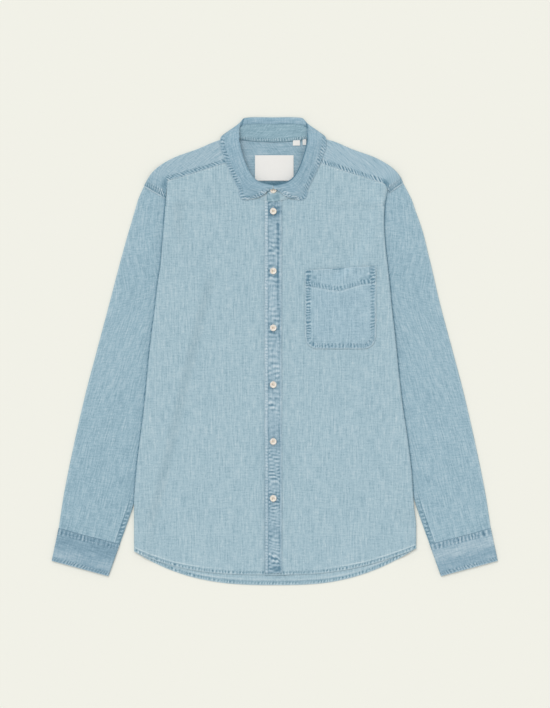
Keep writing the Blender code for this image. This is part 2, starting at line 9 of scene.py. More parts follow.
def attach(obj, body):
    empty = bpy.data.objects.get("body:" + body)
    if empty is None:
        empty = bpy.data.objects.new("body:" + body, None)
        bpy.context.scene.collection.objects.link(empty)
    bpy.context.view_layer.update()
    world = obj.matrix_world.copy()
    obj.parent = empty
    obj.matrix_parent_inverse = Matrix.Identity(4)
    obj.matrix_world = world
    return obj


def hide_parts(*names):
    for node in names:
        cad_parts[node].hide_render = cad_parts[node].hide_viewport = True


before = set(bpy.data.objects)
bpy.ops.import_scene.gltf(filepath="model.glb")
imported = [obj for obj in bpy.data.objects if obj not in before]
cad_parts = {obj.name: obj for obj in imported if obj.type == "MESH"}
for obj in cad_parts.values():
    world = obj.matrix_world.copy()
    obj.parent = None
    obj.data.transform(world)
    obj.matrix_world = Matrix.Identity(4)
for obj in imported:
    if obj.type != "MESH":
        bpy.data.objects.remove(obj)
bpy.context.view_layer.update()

# ------------------------------
# The back. One panel of washed chambray lying face down on the table, its sides turned
# under into narrow flaps and its curved hem turned twice and topstitched.
# Sizes are in millimetres; +X is the wearer's left, and Z counts up from the table.

CLOTH = 0.8
LAYER = 1.5
MIDDLE = 0.6
CENTRE = -2.5
BODY_TOP = 262.8
FLAPS_FROM = 246
LOW_LEVEL = -300
# a hem is its lowest point and the power of its curve; all end this far out at this height,
# and all rise a little toward the wearer's left
HEM_HALF, HEM_SIDE = 240, -340
HEM_LIFT, HEM_LIFT_FROM = 4.2, 60
BACK_HEM = (-398.3, 2.7)
TURN = 2.85
RAMP, RAMP_CLEAR = 24, 3

# height, fold on the right, fold on the left, width of the flap below, layers under the back
SIDES = np.array((
    (262.8, 185.3, 189.2, 7.3, 2), (246, 186.1, 187.3, 7, 4), (222, 188.2, 186, 9, 4),
    (196, 190.2, 187, 15, 4), (170, 192.2, 189.3, 28, 4), (146, 194.3, 192, 46, 4),
    (119, 198.6, 195, 72.5, 4), (80, 203, 198.8, 67, 4), (30, 209.5, 204.5, 62, 4),
    (-30, 216, 210.5, 53, 4), (-90, 221.5, 217.3, 45.5, 4), (-150, 229, 226.3, 39, 4),
    (-210, 236, 233.3, 32, 4), (-262, 239.3, 236.8, 22, 4), (-300, 239.4, 241, 13, 2),
    (-345, 239.4, 241, 8, 2)))
# height, where the rise over the sleeve's head starts, and where it ends
RISES = np.array(((246, 152.1, 176.1), (262.8, 151, 175), (303, 164, 209), (335, 176, 224)))


def curve_through(knots, values):
    """A smooth line through a table, which never swings past its values."""
    knots = np.asarray(knots, float)
    values = np.asarray(values, float)
    if knots[0] > knots[-1]:
        knots, values = knots[::-1], values[::-1]
    flat = values.reshape(len(values), -1)
    step = np.diff(knots)[:, None]
    rise = np.diff(flat, axis=0) / step
    slope = np.zeros_like(flat)
    same = rise[:-1] * rise[1:] > 0
    with np.errstate(divide="ignore", invalid="ignore"):
        slope[1:-1] = np.where(same, 2 * rise[:-1] * rise[1:] / (rise[:-1] + rise[1:]), 0)
    slope[0], slope[-1] = rise[0], rise[-1]

    def at(place):
        place = np.clip(np.asarray(place, float), knots[0], knots[-1])
        k = np.clip(np.searchsorted(knots, place) - 1, 0, len(knots) - 2)
        t = ((place - knots[k]) / step[k, 0])[..., None]
        a, b, m, n = flat[k], flat[k + 1], slope[k] * step[k], slope[k + 1] * step[k]
        out = a + t * m + t**2 * (3 * (b - a) - 2 * m - n) + t**3 * (2 * (a - b) + m + n)
        return out.reshape(place.shape + values.shape[1:])
    return at


def ease(share):
    """A soft step from 0 to 1."""
    share = np.clip(share, 0, 1)
    return share * share * (3 - 2 * share)


def between(a, b, share):
    return a + (b - a) * share


def stripe(away, width):
    """1 along a line, fading to nothing at about twice this width from it."""
    return np.exp(-(away / width) ** 2)


fold_right, fold_left, flap_width, layers_under = (curve_through(SIDES[:, 0], each) for each in SIDES.T[1:])
fold_line = {-1: fold_right, 1: fold_left}
rise_start, rise_end = (curve_through(RISES[:, 0], each) for each in RISES.T[1:])


def rise(x, y):
    """How far the body is lifted by the sleeve and the flaps that lie under its sides."""
    x, y = np.broadcast_arrays(np.asarray(x, float), np.asarray(y, float))
    total = np.zeros(x.shape)
    for side in (-1, 1):
        end = fold_line[side](y) - flap_width(y) - RAMP_CLEAR
        start = end - RAMP
        start = np.where(y > FLAPS_FROM, rise_start(y), start)
        end = np.where(y > FLAPS_FROM, rise_end(y), end)
        share = ease((side * x - start) / (end - start))
        total += np.where(side * x > 0, share, 0) * layers_under(y) * LAYER
    return total


def hem_line(x, hem):
    """The height of a hem's edge at x."""
    middle, power = hem
    line = between(middle, HEM_SIDE, np.minimum(1, np.abs(x) / HEM_HALF) ** power)
    return line + HEM_LIFT * ease((x - HEM_LIFT_FROM) / (HEM_HALF - HEM_LIFT_FROM))


WANDER_SPOTS, WANDER_START = 4096, 700


def wander(place, pitch, seed):
    """A smooth uneven line between -1 and 1, its bumps about this far apart."""
    spots = np.random.default_rng(seed).uniform(-1, 1, WANDER_SPOTS)
    place = np.asarray(place, float) / pitch + WANDER_START
    k = np.floor(np.nan_to_num(place)).astype(int) % (WANDER_SPOTS - 1)
    t = ease(place - np.floor(place))
    return spots[k] * (1 - t) + spots[k + 1] * t


def roping(along, away, inner, outer, pitch, seed, slant=0.35):
    """The ladder of small puckers that washing draws up along a seam, from -1 to 1.

    It lies between two distances from the seam, inner and outer, with one pucker to each pitch.
    """
    band = ease((away - inner + 1.2) / 1.6) * ease((outer + 1.2 - away) / 1.6)
    phase = along / pitch + 0.5 * wander(along, pitch * 3, seed) + away * slant / pitch
    phase = phase + 0.17 * wander(along + 2.3 * away, pitch * 1.1, seed + 2)
    strength = 0.62 + 0.46 * wander(along + 0.7 * away, pitch * 1.6, seed + 1)
    return band * strength * np.sin(2 * np.pi * phase)


def spread(points):
    """Running lengths down and across a grid of points, which become the cloth's own coordinates."""
    with np.errstate(invalid="ignore"):
        across = np.linalg.norm(np.diff(points, axis=1), axis=2)
        down = np.linalg.norm(np.diff(points, axis=0), axis=2)
    across = np.nancumsum(np.pad(across, ((0, 0), (1, 0))), axis=1)
    down = np.nancumsum(np.pad(down, ((1, 0), (0, 0))), axis=0)
    return across, down


def placed(name, data):
    """An object in the scene with this mesh, light or camera."""
    thing = bpy.data.objects.new(name, data)
    bpy.context.scene.collection.objects.link(thing)
    return thing


def riding(mesh, material, smooth_to=58):
    """The piece that a mesh makes, smooth up to this angle in degrees, in the shirt's frame."""
    mesh.shade_smooth()
    mesh.set_sharp_from_angle(angle=math.radians(smooth_to))
    mesh.materials.append(material)
    mesh.validate()
    piece = placed(mesh.name, mesh)
    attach(piece, "root")
    return piece


def beside(*parts):
    """Coordinates set side by side, one number standing for many."""
    return np.stack(np.broadcast_arrays(*parts), axis=-1)


def parted(points):
    """The three coordinates of a grid of points, each of which can be changed in place."""
    return np.moveaxis(points, -1, 0)


def sheet_of_cloth(name, points, cut, tone, thick, material, tube_from=None, below=None):
    """A thin closed sheet through a grid of points. NaN leaves a place empty.

    From row tube_from on, the last column is the first one again, as round a tube. The tone below
    is for the face that looks down, where it differs.
    """
    rows, columns = points.shape[:2]
    there = ~np.isnan(points[..., 0])
    if tube_from is not None:
        there[tube_from:, -1] = False
    number = np.full((rows, columns), -1)
    number[there] = np.arange(there.sum())
    if tube_from is not None:
        number[tube_from:, -1] = number[tube_from:, 0]
    place = np.arange(rows * columns).reshape(rows, columns)
    quads = beside(place[:-1, :-1], place[:-1, 1:], place[1:, 1:], place[1:, :-1]).reshape(-1, 4)
    flat = number.reshape(-1)
    quads = quads[(flat[quads] >= 0).all(axis=1)]
    faces = flat[quads]
    spots = points[there]
    a, b, c, d = (spots[faces[:, k]] for k in range(4))
    lean = np.cross(c - a, d - b)
    normal = np.zeros_like(spots)
    for k in range(4):
        np.add.at(normal, faces[:, k], lean)
    normal /= np.maximum(np.linalg.norm(normal, axis=1), 1e-9)[:, None]
    many = len(spots)
    vertices = np.concatenate((spots + normal * thick / 2, spots - normal * thick / 2)) / 1000
    ends = np.concatenate([faces[:, (k, (k + 1) % 4)] for k in range(4)])
    rim_quads = np.concatenate([quads[:, (k, (k + 1) % 4)] for k in range(4)])
    alone = ~np.isin(ends[:, 0] * many + ends[:, 1], ends[:, 1] * many + ends[:, 0])
    rim, rim_place = ends[alone], rim_quads[alone]
    solid = np.concatenate((faces, faces[:, ::-1] + many,
                            beside(rim[:, 1], rim[:, 0], rim[:, 0] + many, rim[:, 1] + many)))
    source = np.concatenate((quads, quads[:, ::-1], rim_place[:, (1, 0, 0, 1)]))
    mesh = bpy.data.meshes.new(name)
    mesh.from_pydata(vertices, [], solid)
    layer = mesh.uv_layers.new(name="cut")
    layer.data.foreach_set("uv", (cut.reshape(-1, 2)[source] / 1000).astype(np.float32).ravel())
    shade = mesh.attributes.new("tone", "FLOAT", "POINT")
    below = tone[there] if below is None else below[there]
    upper_first = normal[:, 2] > 0
    tones = (np.where(upper_first, tone[there], below), np.where(upper_first, below, tone[there]))
    shade.data.foreach_set("value", np.concatenate(tones).astype(np.float32))
    return riding(mesh, material)


def plug(tree, node, sockets):
    """Set each of these sockets of a node, or wire it to another node or to one of its outputs."""
    for socket, value in sockets.items():
        if isinstance(value, bpy.types.Node):
            value = value.outputs[0]
        if isinstance(value, bpy.types.NodeSocket):
            tree.links.new(value, node.inputs[socket])
        else:
            node.inputs[socket].default_value = value
    return node


def add(tree, kind, sockets=None, **settings):
    """A new node with its settings made and its sockets plugged."""
    node = tree.nodes.new(kind)
    for setting, value in settings.items():
        setattr(node, setting, value)
    return plug(tree, node, sockets or {})


def colours(tree, value, *steps):
    """A ramp from the first colour to the last, each with its place."""
    node = add(tree, "ShaderNodeValToRGB", {"Fac": value})
    for place, colour in steps[1:-1]:
        node.color_ramp.elements.new(place)
    for element, (place, colour) in zip(node.color_ramp.elements, steps):
        element.position, element.color = place, (*colour, 1)
    return node


def new_material(name):
    material = bpy.data.materials.new(name)
    material.use_nodes = True
    return material, material.node_tree, material.node_tree.nodes["Principled BSDF"]


def chambray(name, deep, middle, pale, fade=1):
    """Washed chambray: indigo warp and white weft, uneven slubs both ways, faded in soft clouds."""
    material, tree, shader = new_material(name)
    cut = add(tree, "ShaderNodeUVMap", uv_map="cut")

    def streaks(across, along, seed, detail=1, roughness=0.5):
        """Noise drawn out to this size, in metres across and along the warp."""
        stretch = add(tree, "ShaderNodeMapping", {"Vector": cut, "Location": (seed * 3.7, seed * 1.9, 0),
                                                  "Scale": (1 / across, 1 / along, 1)})
        return add(tree, "ShaderNodeTexNoise", {"Vector": stretch, "Scale": 1, "Detail": detail,
                                                "Roughness": roughness}, noise_dimensions="2D")

    def sums(operation, *values):
        return add(tree, "ShaderNodeMath", dict(enumerate(values)), operation=operation)

    def weigh(value, weight, total=0.5):
        """total + (value - 0.5) * weight"""
        return sums("MULTIPLY_ADD", sums("SUBTRACT", value, 0.5), weight, total)

    def threads(axis, pitch):
        """One set of threads as a wave across the cloth."""
        place = add(tree, "ShaderNodeSeparateXYZ", {0: cut}).outputs[axis]
        return sums("SINE", sums("MULTIPLY", place, 2 * math.pi / pitch))

    warp, weft, bands = streaks(0.0023, 0.024, 1), streaks(0.015, 0.0024, 2), streaks(0.0065, 0.10, 3)
    clouds, fleck = streaks(0.05, 0.08, 4, 2), streaks(0.0024, 0.0030, 5, 2, 0.6)
    weave = sums("MULTIPLY_ADD", threads("X", 0.0007), threads("Y", 0.0008), 0.5)
    shift = sums("ADD", add(tree, "ShaderNodeAttribute", attribute_name="tone").outputs["Fac"], 0.5)
    total = 0.5
    for value, weight in ((warp, 0.40), (weft, 0.26), (bands, 0.09), (clouds, 0.08), (fleck, 0.34)):
        total = weigh(value, weight * fade, total)
    total = weigh(shift, 0.5, weigh(weave, 0.05, total))
    relief = weigh(weave, 0.35, weigh(weft, 0.8, weigh(warp, 1.2)))
    plug(tree, shader, {
        "Base Color": colours(tree, total, (0, deep), (0.5, middle), (1, pale)),
        "Normal": add(tree, "ShaderNodeBump", {"Strength": 0.55, "Distance": 0.00035, "Height": relief}),
        "Roughness": 0.92, "Specular IOR Level": 0.18, "Sheen Weight": 0.12, "Sheen Roughness": 0.5})
    return material


def spun_thread(name, deep, colour):
    """Plied sewing thread: a soft twist of light and dark along each stitch."""
    material, tree, shader = new_material(name)
    place = add(tree, "ShaderNodeTexCoord").outputs["Object"]
    twist = add(tree, "ShaderNodeTexNoise", {"Vector": place, "Scale": 900})
    plug(tree, shader, {"Base Color": colours(tree, twist, (0.35, deep), (0.65, colour)),
                        "Roughness": 0.75, "Sheen Weight": 0.2})
    return material


def lockstitch(material):
    """A node tree that lays one stitch after another along the edges of a mesh."""
    tree = bpy.data.node_groups.new("lockstitch", "GeometryNodeTree")
    tree.interface.new_socket("Seam", in_out="INPUT", socket_type="NodeSocketGeometry")
    sizes = [tree.interface.new_socket(label, in_out="INPUT", socket_type="NodeSocketFloat").identifier
             for label in ("Stitch length", "Pitch", "Thread thickness", "Turn")]
    tree.interface.new_socket("Stitches", in_out="OUTPUT", socket_type="NodeSocketGeometry")
    given = add(tree, "NodeGroupInput").outputs
    line = add(tree, "GeometryNodeMeshToCurve", {"Mesh": given["Seam"]})
    divided = add(tree, "GeometryNodeResampleCurve", {"Curve": line, "Length": given["Pitch"]}, mode="LENGTH")
    ahead = add(tree, "GeometryNodeInputTangent")
    aim = add(tree, "FunctionNodeAlignRotationToVector", {"Vector": ahead}, axis="X")
    quarter = add(tree, "FunctionNodeAxisAngleToRotation", {"Angle": given["Turn"]})
    turned = add(tree, "FunctionNodeRotateRotation", {"Rotation": aim, "Rotate By": quarter},
                 rotation_space="LOCAL")
    bead = add(tree, "GeometryNodeMeshUVSphere", {"Segments": 6, "Rings": 3, "Radius": 0.5})
    size = add(tree, "ShaderNodeCombineXYZ", {"X": given["Stitch length"], "Y": given["Thread thickness"],
                                              "Z": given["Thread thickness"]})
    drawn = add(tree, "GeometryNodeTransform", {"Geometry": bead, "Scale": size})
    uneven = add(tree, "FunctionNodeRandomValue", {2: 0.86, 3: 1.12, "Seed": 7}, data_type="FLOAT").outputs[1]
    laid = add(tree, "GeometryNodeInstanceOnPoints",
               {"Points": divided, "Instance": drawn, "Rotation": turned, "Scale": uneven})
    real = add(tree, "GeometryNodeRealizeInstances", {"Geometry": laid})
    coloured = add(tree, "GeometryNodeSetMaterial", {"Geometry": real, "Material": material})
    add(tree, "NodeGroupOutput", {"Stitches": coloured})
    return tree, sizes


RUNNING = (2.4, 3.0, 0.42, 0.0)
STITCH_SUNK = 0.06
topstitch = lockstitch(spun_thread("topstitch_thread", (0.36, 0.47, 0.54), (0.60, 0.71, 0.76)))


def feeler(piece, way):
    """Finds the first spot of a piece from above (way -1) or from below (way 1)."""
    surface = BVHTree.FromObject(piece, bpy.context.evaluated_depsgraph_get())
    return lambda x, y: surface.ray_cast(Vector((x / 1000, y / 1000, -0.05 * way)), Vector((0, 0, way)))[0]


def sewn(piece, paths, from_below=False, stitch=RUNNING, ending="stitches"):
    """The stitches along these paths, seen from above, laid on the upper or the lower face of a piece.

    A stitch is its length, the pitch from one to the next, its thickness and its turn from the path.
    """
    tree, sizes = topstitch
    way = 1 if from_below else -1
    felt = feeler(piece, way)
    points, edges = [], []
    for path in paths:
        hit = None
        for x, y, *_ in path:
            before, hit = hit, felt(x, y)
            if hit is not None:
                if before is not None:
                    edges.append((len(points) - 1, len(points)))
                points.append((hit.x, hit.y, hit.z - way * (stitch[2] / 2 - STITCH_SUNK) / 1000))
    name = f"{piece.name}_{ending}" + ("_below" if from_below else "")
    line = bpy.data.meshes.new(name + "_line")
    line.from_pydata(points, edges, [])
    holder = placed(name + "_line", line)
    sewing = holder.modifiers.new("stitches", "NODES")
    sewing.node_group = tree
    for size, value in zip(sizes, stitch[:3]):
        sewing[size] = value / 1000
    sewing[sizes[3]] = stitch[3]
    holder.update_tag()
    mesh = bpy.data.meshes.new_from_object(holder.evaluated_get(bpy.context.evaluated_depsgraph_get()))
    bpy.data.objects.remove(holder, do_unlink=True)
    mesh.shade_smooth()
    mesh.name = name
    stitches = placed(name, mesh)
    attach(stitches, "root")
    return stitches


def level_line(points, field, level):
    """Where a field crosses this level along each row of a grid of points."""
    out = []
    for row, value in zip(points, field):
        value = np.where(np.isnan(row[:, 0]), np.nan, value - level)
        with np.errstate(invalid="ignore"):
            cross = np.nonzero(value[:-1] * value[1:] <= 0)[0]
        if len(cross):
            k = cross[0]
            share = value[k] / (value[k] - value[k + 1]) if value[k] != value[k + 1] else 0
            out.append(between(row[k], row[k + 1], share))
    return np.array(out)


body_cloth = chambray("chambray", (0.126, 0.249, 0.332), (0.378, 0.529, 0.603), (0.675, 0.77, 0.80))


def body_row(side, level, share, hem, out, high, layers, steps, flap_steps):
    """One row of a body panel: these spots, then the turn at the side and the flap below it."""
    top, bottom = ((layers_under(level) + layer) * LAYER + MIDDLE for layer in layers)
    radius = (top - bottom) / 2
    centre = fold_line[side](level) - TURN
    angle = np.pi / 2 - np.pi * np.arange(1, steps + 1) / steps
    seam = fold_line[side](level) - flap_width(level)
    flap = between(centre, seam, np.arange(1, flap_steps + 1) / flap_steps)
    out = np.concatenate((out, centre + radius * np.cos(angle), flap))
    high = np.concatenate((high, (top + bottom) / 2 + radius * np.sin(angle), 0 * flap + bottom))
    return beside(side * out, between(level, hem_line(side * out, hem), share), high)


def levels_down(heights, low_rows):
    """The rows of a body panel: level ones at these heights, then ones that bend toward the hem."""
    return [(y, 0) for y in heights] + [(LOW_LEVEL, share) for share in np.linspace(0, 1, low_rows)[1:]]


def back_points():
    rows = []
    top_rows, level_rows = np.linspace(BODY_TOP, FLAPS_FROM, 4), np.linspace(FLAPS_FROM, LOW_LEVEL, 30)
    for level, share in levels_down((*top_rows[:-1], *level_rows), 34):
        halves = []
        for side in (-1, 1):
            out = np.linspace(0, 1, 136)[1:] * (fold_line[side](level) - TURN)
            high = rise(side * out, level) + MIDDLE
            half = body_row(side, level, share, BACK_HEM, out, high, (0, -1), 5, 6)
            if level > FLAPS_FROM:
                half[len(out):] = np.nan
            halves.append(half)
        middle = [(0, between(level, hem_line(0, BACK_HEM), share), MIDDLE)]
        rows.append(np.concatenate((halves[0][::-1], middle, halves[1])))
    return np.array(rows)


def hem_finish(points, hem, seed, lift, width, line):
    """A turned and stitched hem: puckers, a pale edge and dye left along the stitches.

    The lift is the height of the puckers, the width is the turned hem's, and the line is a pale one above it.
    """
    x, y, high = parted(points)
    away = y - hem_line(x, hem)
    ladder = roping(x, away, 0.9, width, 5.4, seed, 0.1)
    stitched = stripe(away - width - 0.6, 1.2)
    ridge = stripe(away - line, 0.9) * (0.4 + 0.6 * ease((np.abs(x) - 60) / 80))
    edge = stripe(away - 0.6, 1)
    near = (away < 30) & (y < HEM_SIDE + 60)
    high += np.where(near, lift * ladder - 0.22 * stitched, 0)
    tone = 0.95 * ladder - 0.5 * stitched + 0.7 * ridge + 0.6 * edge - 0.2 * ease((width + 1 - away) / 2)
    return np.where(near, tone, 0)


spots = back_points()
across = spread(spots * (1, 0, 1))[0]
across = across - across[:, across.shape[1] // 2][:, None]
tone = hem_finish(spots, BACK_HEM, 11, 0, 4.8, 8.4)
back = sheet_of_cloth("back_panel", spots, beside(across, -spots[..., 1]), tone, CLOTH, body_cloth)
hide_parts("back")
hem_x = np.linspace(-236, 236, 240)
hem_rows = [beside(hem_x, hem_line(hem_x, BACK_HEM) + up) for up in (1.6, 7.5)]
stitches = [sewn(back, hem_rows), sewn(back, hem_rows, from_below=True)]

# ------------------------------
# The yoke. One piece of chambray across the shoulders: seen inside the neck, folded over
# the shoulders, and topstitched in two rows along the front seams and round the armholes.

# the collar from the centre back to the centre front: its seam, its roll and its outer edge
COLLAR = np.array((
    (0, 358, 0, 396.9, 3.2, 0, 365.5, 0.8), (31, 359.5, 31.5, 397.2, 3.2, 34, 366.5, 0.8),
    (50, 361.6, 48.6, 395.8, 3.6, 58, 369, 0.8), (62, 363.4, 55.2, 388, 5.6, 79, 370, 0.8),
    (72.5, 363.8, 57, 375.7, 8.8, 90, 360.2, 4.6), (74.5, 351.9, 57, 360.4, 11, 90, 347.5, 5.2),
    (74.4, 338.3, 54, 345.1, 12, 85, 333, 5), (71.5, 322.5, 49.3, 328.1, 12, 77.4, 312.8, 4.4),
    (64, 300.9, 42.5, 311.1, 11.5, 68.9, 295, 4.2), (50, 278.8, 33.2, 295.8, 11, 60, 276.5, 4.2),
    (27, 263, 19.6, 286.6, 10.6, 55.3, 260, 4.4), (3, 256.6, 4.2, 282.2, 10.4, 47.5, 256, 4.6)))
NECK_CLEAR = 1.2
SEAM_CLEAR = 0.6
SHOULDER_AIR = 1
# front yoke seam: its bend near the armhole, its tip, and the shoulder's end, on each side
YOKE_CORNER = {
    -1: ((182.2, 289), (185.3, 263.2), (220.8, 283.5)),
    1: ((187.5, 283.9), (193.6, 272.5), (217, 288.7)),
}
SHOULDER_LINE = ((100, 356.5), (131, 343.4), (172, 328.3), (195, 315), (208, 303.5), (214.5, 294.5))
YOKE_BACK_X = (60, 85, 118, 151, 163, 175, 180.5)
YOKE_SEAM_SHARES = (0.25, 0.53, 0.82)
BETWEEN = 26
YOKE_BELOW, YOKE_ABOVE = 18, 50


def neck_edge(number, side):
    """The edge of the yoke and the fronts round the neck, just outside the collar's seam."""
    seam, roll = COLLAR[number, 0:2], COLLAR[number, 2:4]
    lean = (roll - seam) / np.linalg.norm(roll - seam)
    x, y = seam - lean * NECK_CLEAR
    return np.array((x + side * CENTRE, y))


def shoulder_air(x, y):
    across = np.interp(np.abs(x), (65, 110), (0, 1))
    return SHOULDER_AIR * across * np.interp(y, (246, 254), (0, 1))


def yoke_lines(side):
    """Lines from the back seam over the shoulder to the front seam, from the neck outwards."""
    bend, tip, shoulder = (np.array(p) for p in YOKE_CORNER[side])
    neck = [neck_edge(number, side) for number in (5, 6, 7)]
    folds = [np.array((75 + side * CENTRE, 364.4))] + [np.array(p) for p in SHOULDER_LINE] + [shoulder]
    fronts = [between(neck[2], bend, s) for s in (0, *YOKE_SEAM_SHARES)]
    fronts += [between(bend, tip, s) for s in (0, 0.5, 0.8, 1)]
    backs = [*YOKE_BACK_X, float(fold_line[side](BODY_TOP)) - 1]
    lines = []
    for number, (fold, front, back_x) in enumerate(zip(folds, fronts, backs)):
        seam = np.array((back_x, BODY_TOP + SEAM_CLEAR))
        outward = (fold - front) / np.linalg.norm(fold - front)
        turn = fold - outward * 1.35
        behind = [between(seam, turn, s) for s in (0, 0.33, 0.66, 1)]
        ahead = [between(turn, front, s) for s in (0, 0.3, 0.65, 1)]
        if number == 0:
            ahead[1:] = neck
        lines.append(behind + ahead)
    return np.array(lines)


def finer(lines, count):
    """A row of spots or lines made into this many by a smooth curve through them."""
    return curve_through(np.arange(len(lines)), lines)(np.linspace(0, len(lines) - 1, count))


ARMHOLE_LAP = 4.2


def yoke_half(side):
    """The wrapped shoulder as a fine grid: one row for each line, from the neck to the armhole."""
    lines = yoke_lines(side)
    rows = []
    for line in finer(lines, (len(lines) - 1) * BETWEEN + 1):
        below = finer(line[:4], YOKE_BELOW)
        above = curve_through(np.arange(4), line[4:])(3 - 3 * np.linspace(1, 0, YOKE_ABOVE) ** 1.5)
        low = rise(side * below[:, 0], below[:, 1]) + MIDDLE
        x, y = above.T
        high = rise(side * x, y) + shoulder_air(x, y) + LAYER + MIDDLE
        turn = below[-1]
        radius = (high[0] - low[-1]) / 2
        out = (line[3] - line[7]) / np.linalg.norm(line[3] - line[7])
        angles = -np.pi / 2 + np.pi * np.arange(1, 8) / 8
        arc = turn + np.cos(angles)[:, None] * radius * out
        arc_high = (high[0] + low[-1]) / 2 + np.sin(angles) * radius
        x, y = np.concatenate((below, arc, above)).T
        rows.append(beside(side * x, y, np.concatenate((low, arc_high, high))))
    rows = np.array(rows)
    outward = (rows[-1] - rows[-4]) * (1, 1, 0)
    outward /= np.linalg.norm(outward, axis=1)[:, None]
    lap = ARMHOLE_LAP * ease(1 - np.linalg.norm(rows - rows[-1], axis=2) / 18)
    lap *= np.clip((np.arange(rows.shape[1]) - YOKE_BELOW + 1) / 8, 0, 1)
    lapped = rows + lap[..., None] * outward
    lapped[..., 2] += rise(lapped[..., 0], lapped[..., 1]) - rise(rows[..., 0], rows[..., 1])
    return lapped


def yoke_middle(tall):
    """The part behind the neck, between the two shoulders' first lines."""
    ends = []
    for side, numbers in ((-1, (4, 3, 2, 1)), (1, (0, 1, 2, 3, 4))):
        for number in numbers:
            x, y = neck_edge(number, side)
            bottom = np.array((side * x * 0.8, BODY_TOP + SEAM_CLEAR))
            ends.append((bottom, np.array((side * x, y))))
    ends = np.array(ends)
    ends[0, 0, 0], ends[-1, 0, 0] = -YOKE_BACK_X[0], YOKE_BACK_X[0]
    fine = finer(ends, 76)
    rows = np.full((len(fine), tall, 3), np.nan)
    for k, (bottom, top) in enumerate(fine):
        rows[k, :YOKE_BELOW, 0:2] = between(bottom, top, np.linspace(0, 1, YOKE_BELOW)[:, None])
        rows[k, :YOKE_BELOW, 2] = MIDDLE
    return rows


FAR_OFF, PRESSED = 999.0, LAYER + MIDDLE + 1.15
halves = {side: yoke_half(side) for side in (-1, 1)}
middle = yoke_middle(halves[1].shape[1])
middle[0, :YOKE_BELOW] = halves[-1][0, :YOKE_BELOW]
middle[-1, :YOKE_BELOW] = halves[1][0, :YOKE_BELOW]
spots = np.concatenate((halves[-1][::-1], middle[1:-1], halves[1]))
across, down = spread(spots)
x, y, high = parted(spots)
front_away = np.where(np.isnan(x), FAR_OFF, across[:, -1:] - across)
shoulders = (slice(0, len(halves[1])), slice(-len(halves[1]), None))
armhole_away = np.full(spots.shape[:2], FAR_OFF)
for half, end in zip(shoulders, (0, -1)):
    armhole_away[half] = np.abs(down[half] - down[half][end])
# the face that shows in front, and the part of its front seam that runs straight
slack = 1 * (high > LAYER)
straight = np.where(np.abs(x) > 184, 0, 1)
seam_ladder = roping(down, front_away, 0.5, 7.5, 5.4, 21) * slack * straight
hole_ladder = roping(across, armhole_away, 2.6, 11, 4.2, 25, 0.6) * slack
high += 0.34 * seam_ladder + 0.34 * hole_ladder + 0.45 * stripe(front_away, 3.5) * slack
sunk = stripe(np.maximum(armhole_away - ARMHOLE_LAP, 0), 6)
high -= (LAYER + SHOULDER_AIR - 0.9) * sunk * slack
high -= np.maximum(high - PRESSED, 0) * stripe(armhole_away, 3.4)
edge = stripe(front_away, 1.3) * straight * slack
hole_edge = stripe(armhole_away, 1.5) * slack
tone = 0.20 * slack + 1.05 * seam_ladder + 1.7 * hole_ladder - 0.44 * ease((8.5 - front_away) / 1.5) * slack
tone += 0.45 * edge + 1.2 * hole_edge - 0.36 * ease((11.5 - armhole_away) / 3) * slack
tone -= (0.45 * stripe(armhole_away - 3, 1) + 0.12 * ease((32 - armhole_away) / 20)) * slack
# painted shade: a dark patch at each shoulder near the bend of the yoke's front seam, for the shadow beside
# the puffed corner there
tone -= 0.6 * np.exp(-((np.abs(x) - 189) / 6) ** 2 - ((y - 284) / 9) ** 2) * slack
# painted shade: under_neck darkens the yoke's inner face just below the collar's roll behind the neck, for
# the shade under the collar, partly also the inner cloth's darker blue; only the inner face's tone takes it
under_neck = np.exp(-((y - 283) / 5) ** 4) * np.exp(-((x - CENTRE) / 26) ** 4)
shoulder_cloth = chambray("chambray_shoulder", (0.107, 0.224, 0.306), (0.312, 0.462, 0.550),
                          (0.57, 0.685, 0.745), 1.1)
yoke = sheet_of_cloth("yoke_panel", spots, beside(across, down), tone - 1.1 * under_neck * (1 - slack),
                      CLOTH, shoulder_cloth, below=tone)
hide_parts("yoke")
seam_rows, hole_rows = [], []
for half in shoulders:
    for inward in (1.8, 6.4):
        row = level_line(spots[half, ::-1], front_away[half, ::-1], inward)
        seam_rows.append(row[np.abs(row[:, 0]) < 182])
        hole_rows.append(level_line(spots[half].swapaxes(0, 1), armhole_away[half].T, inward + 0.6)[30:])
back_seam = [beside(np.linspace(-178, 178, 120), BODY_TOP + up) for up in (2.2, 7)]
stitches = [sewn(yoke, seam_rows + hole_rows), sewn(yoke, back_seam, from_below=True)]

# ------------------------------
# The two fronts. Each is a panel of chambray whose side is folded round the back's and
# whose hem is turned and stitched; the left one laps over the right at the middle.

FRONT_HEM = {-1: (-380.6, 3), 1: (-380.6, 2.5)}
PLACKET_WIDE = 29
LAP_RAMP = (16, 34)
TOP_UNDER = 1.6
FRONT_COLUMNS, FRONT_TURN, FRONT_FLAP = 144, 8, 10
FRONT_PITCH = 8
FRONT_SPREAD = 2.5


def front_high(side, x, y):
    """Middle of a front's cloth at x, measured outwards from the shirt's middle line."""
    layers = 1
    if side > 0:
        layers = layers + 1 - ease((x - LAP_RAMP[0]) / (LAP_RAMP[1] - LAP_RAMP[0]))
    return rise(side * x, y) + shoulder_air(x, y) + layers * LAYER + MIDDLE


def slack_of(x, y):
    """Soft unevenness of the body as it lies: long low waves that run down the cloth."""
    waves = 0.24 * wander(x + 0.10 * y, 34, 31) * (0.6 + 0.4 * wander(y, 120, 32))
    waves = waves + 0.26 * wander(y - 0.2 * x, 95, 33) * wander(x, 60, 34)
    return waves * ease((262 + np.abs(x) * 0.25 - y) / 40)


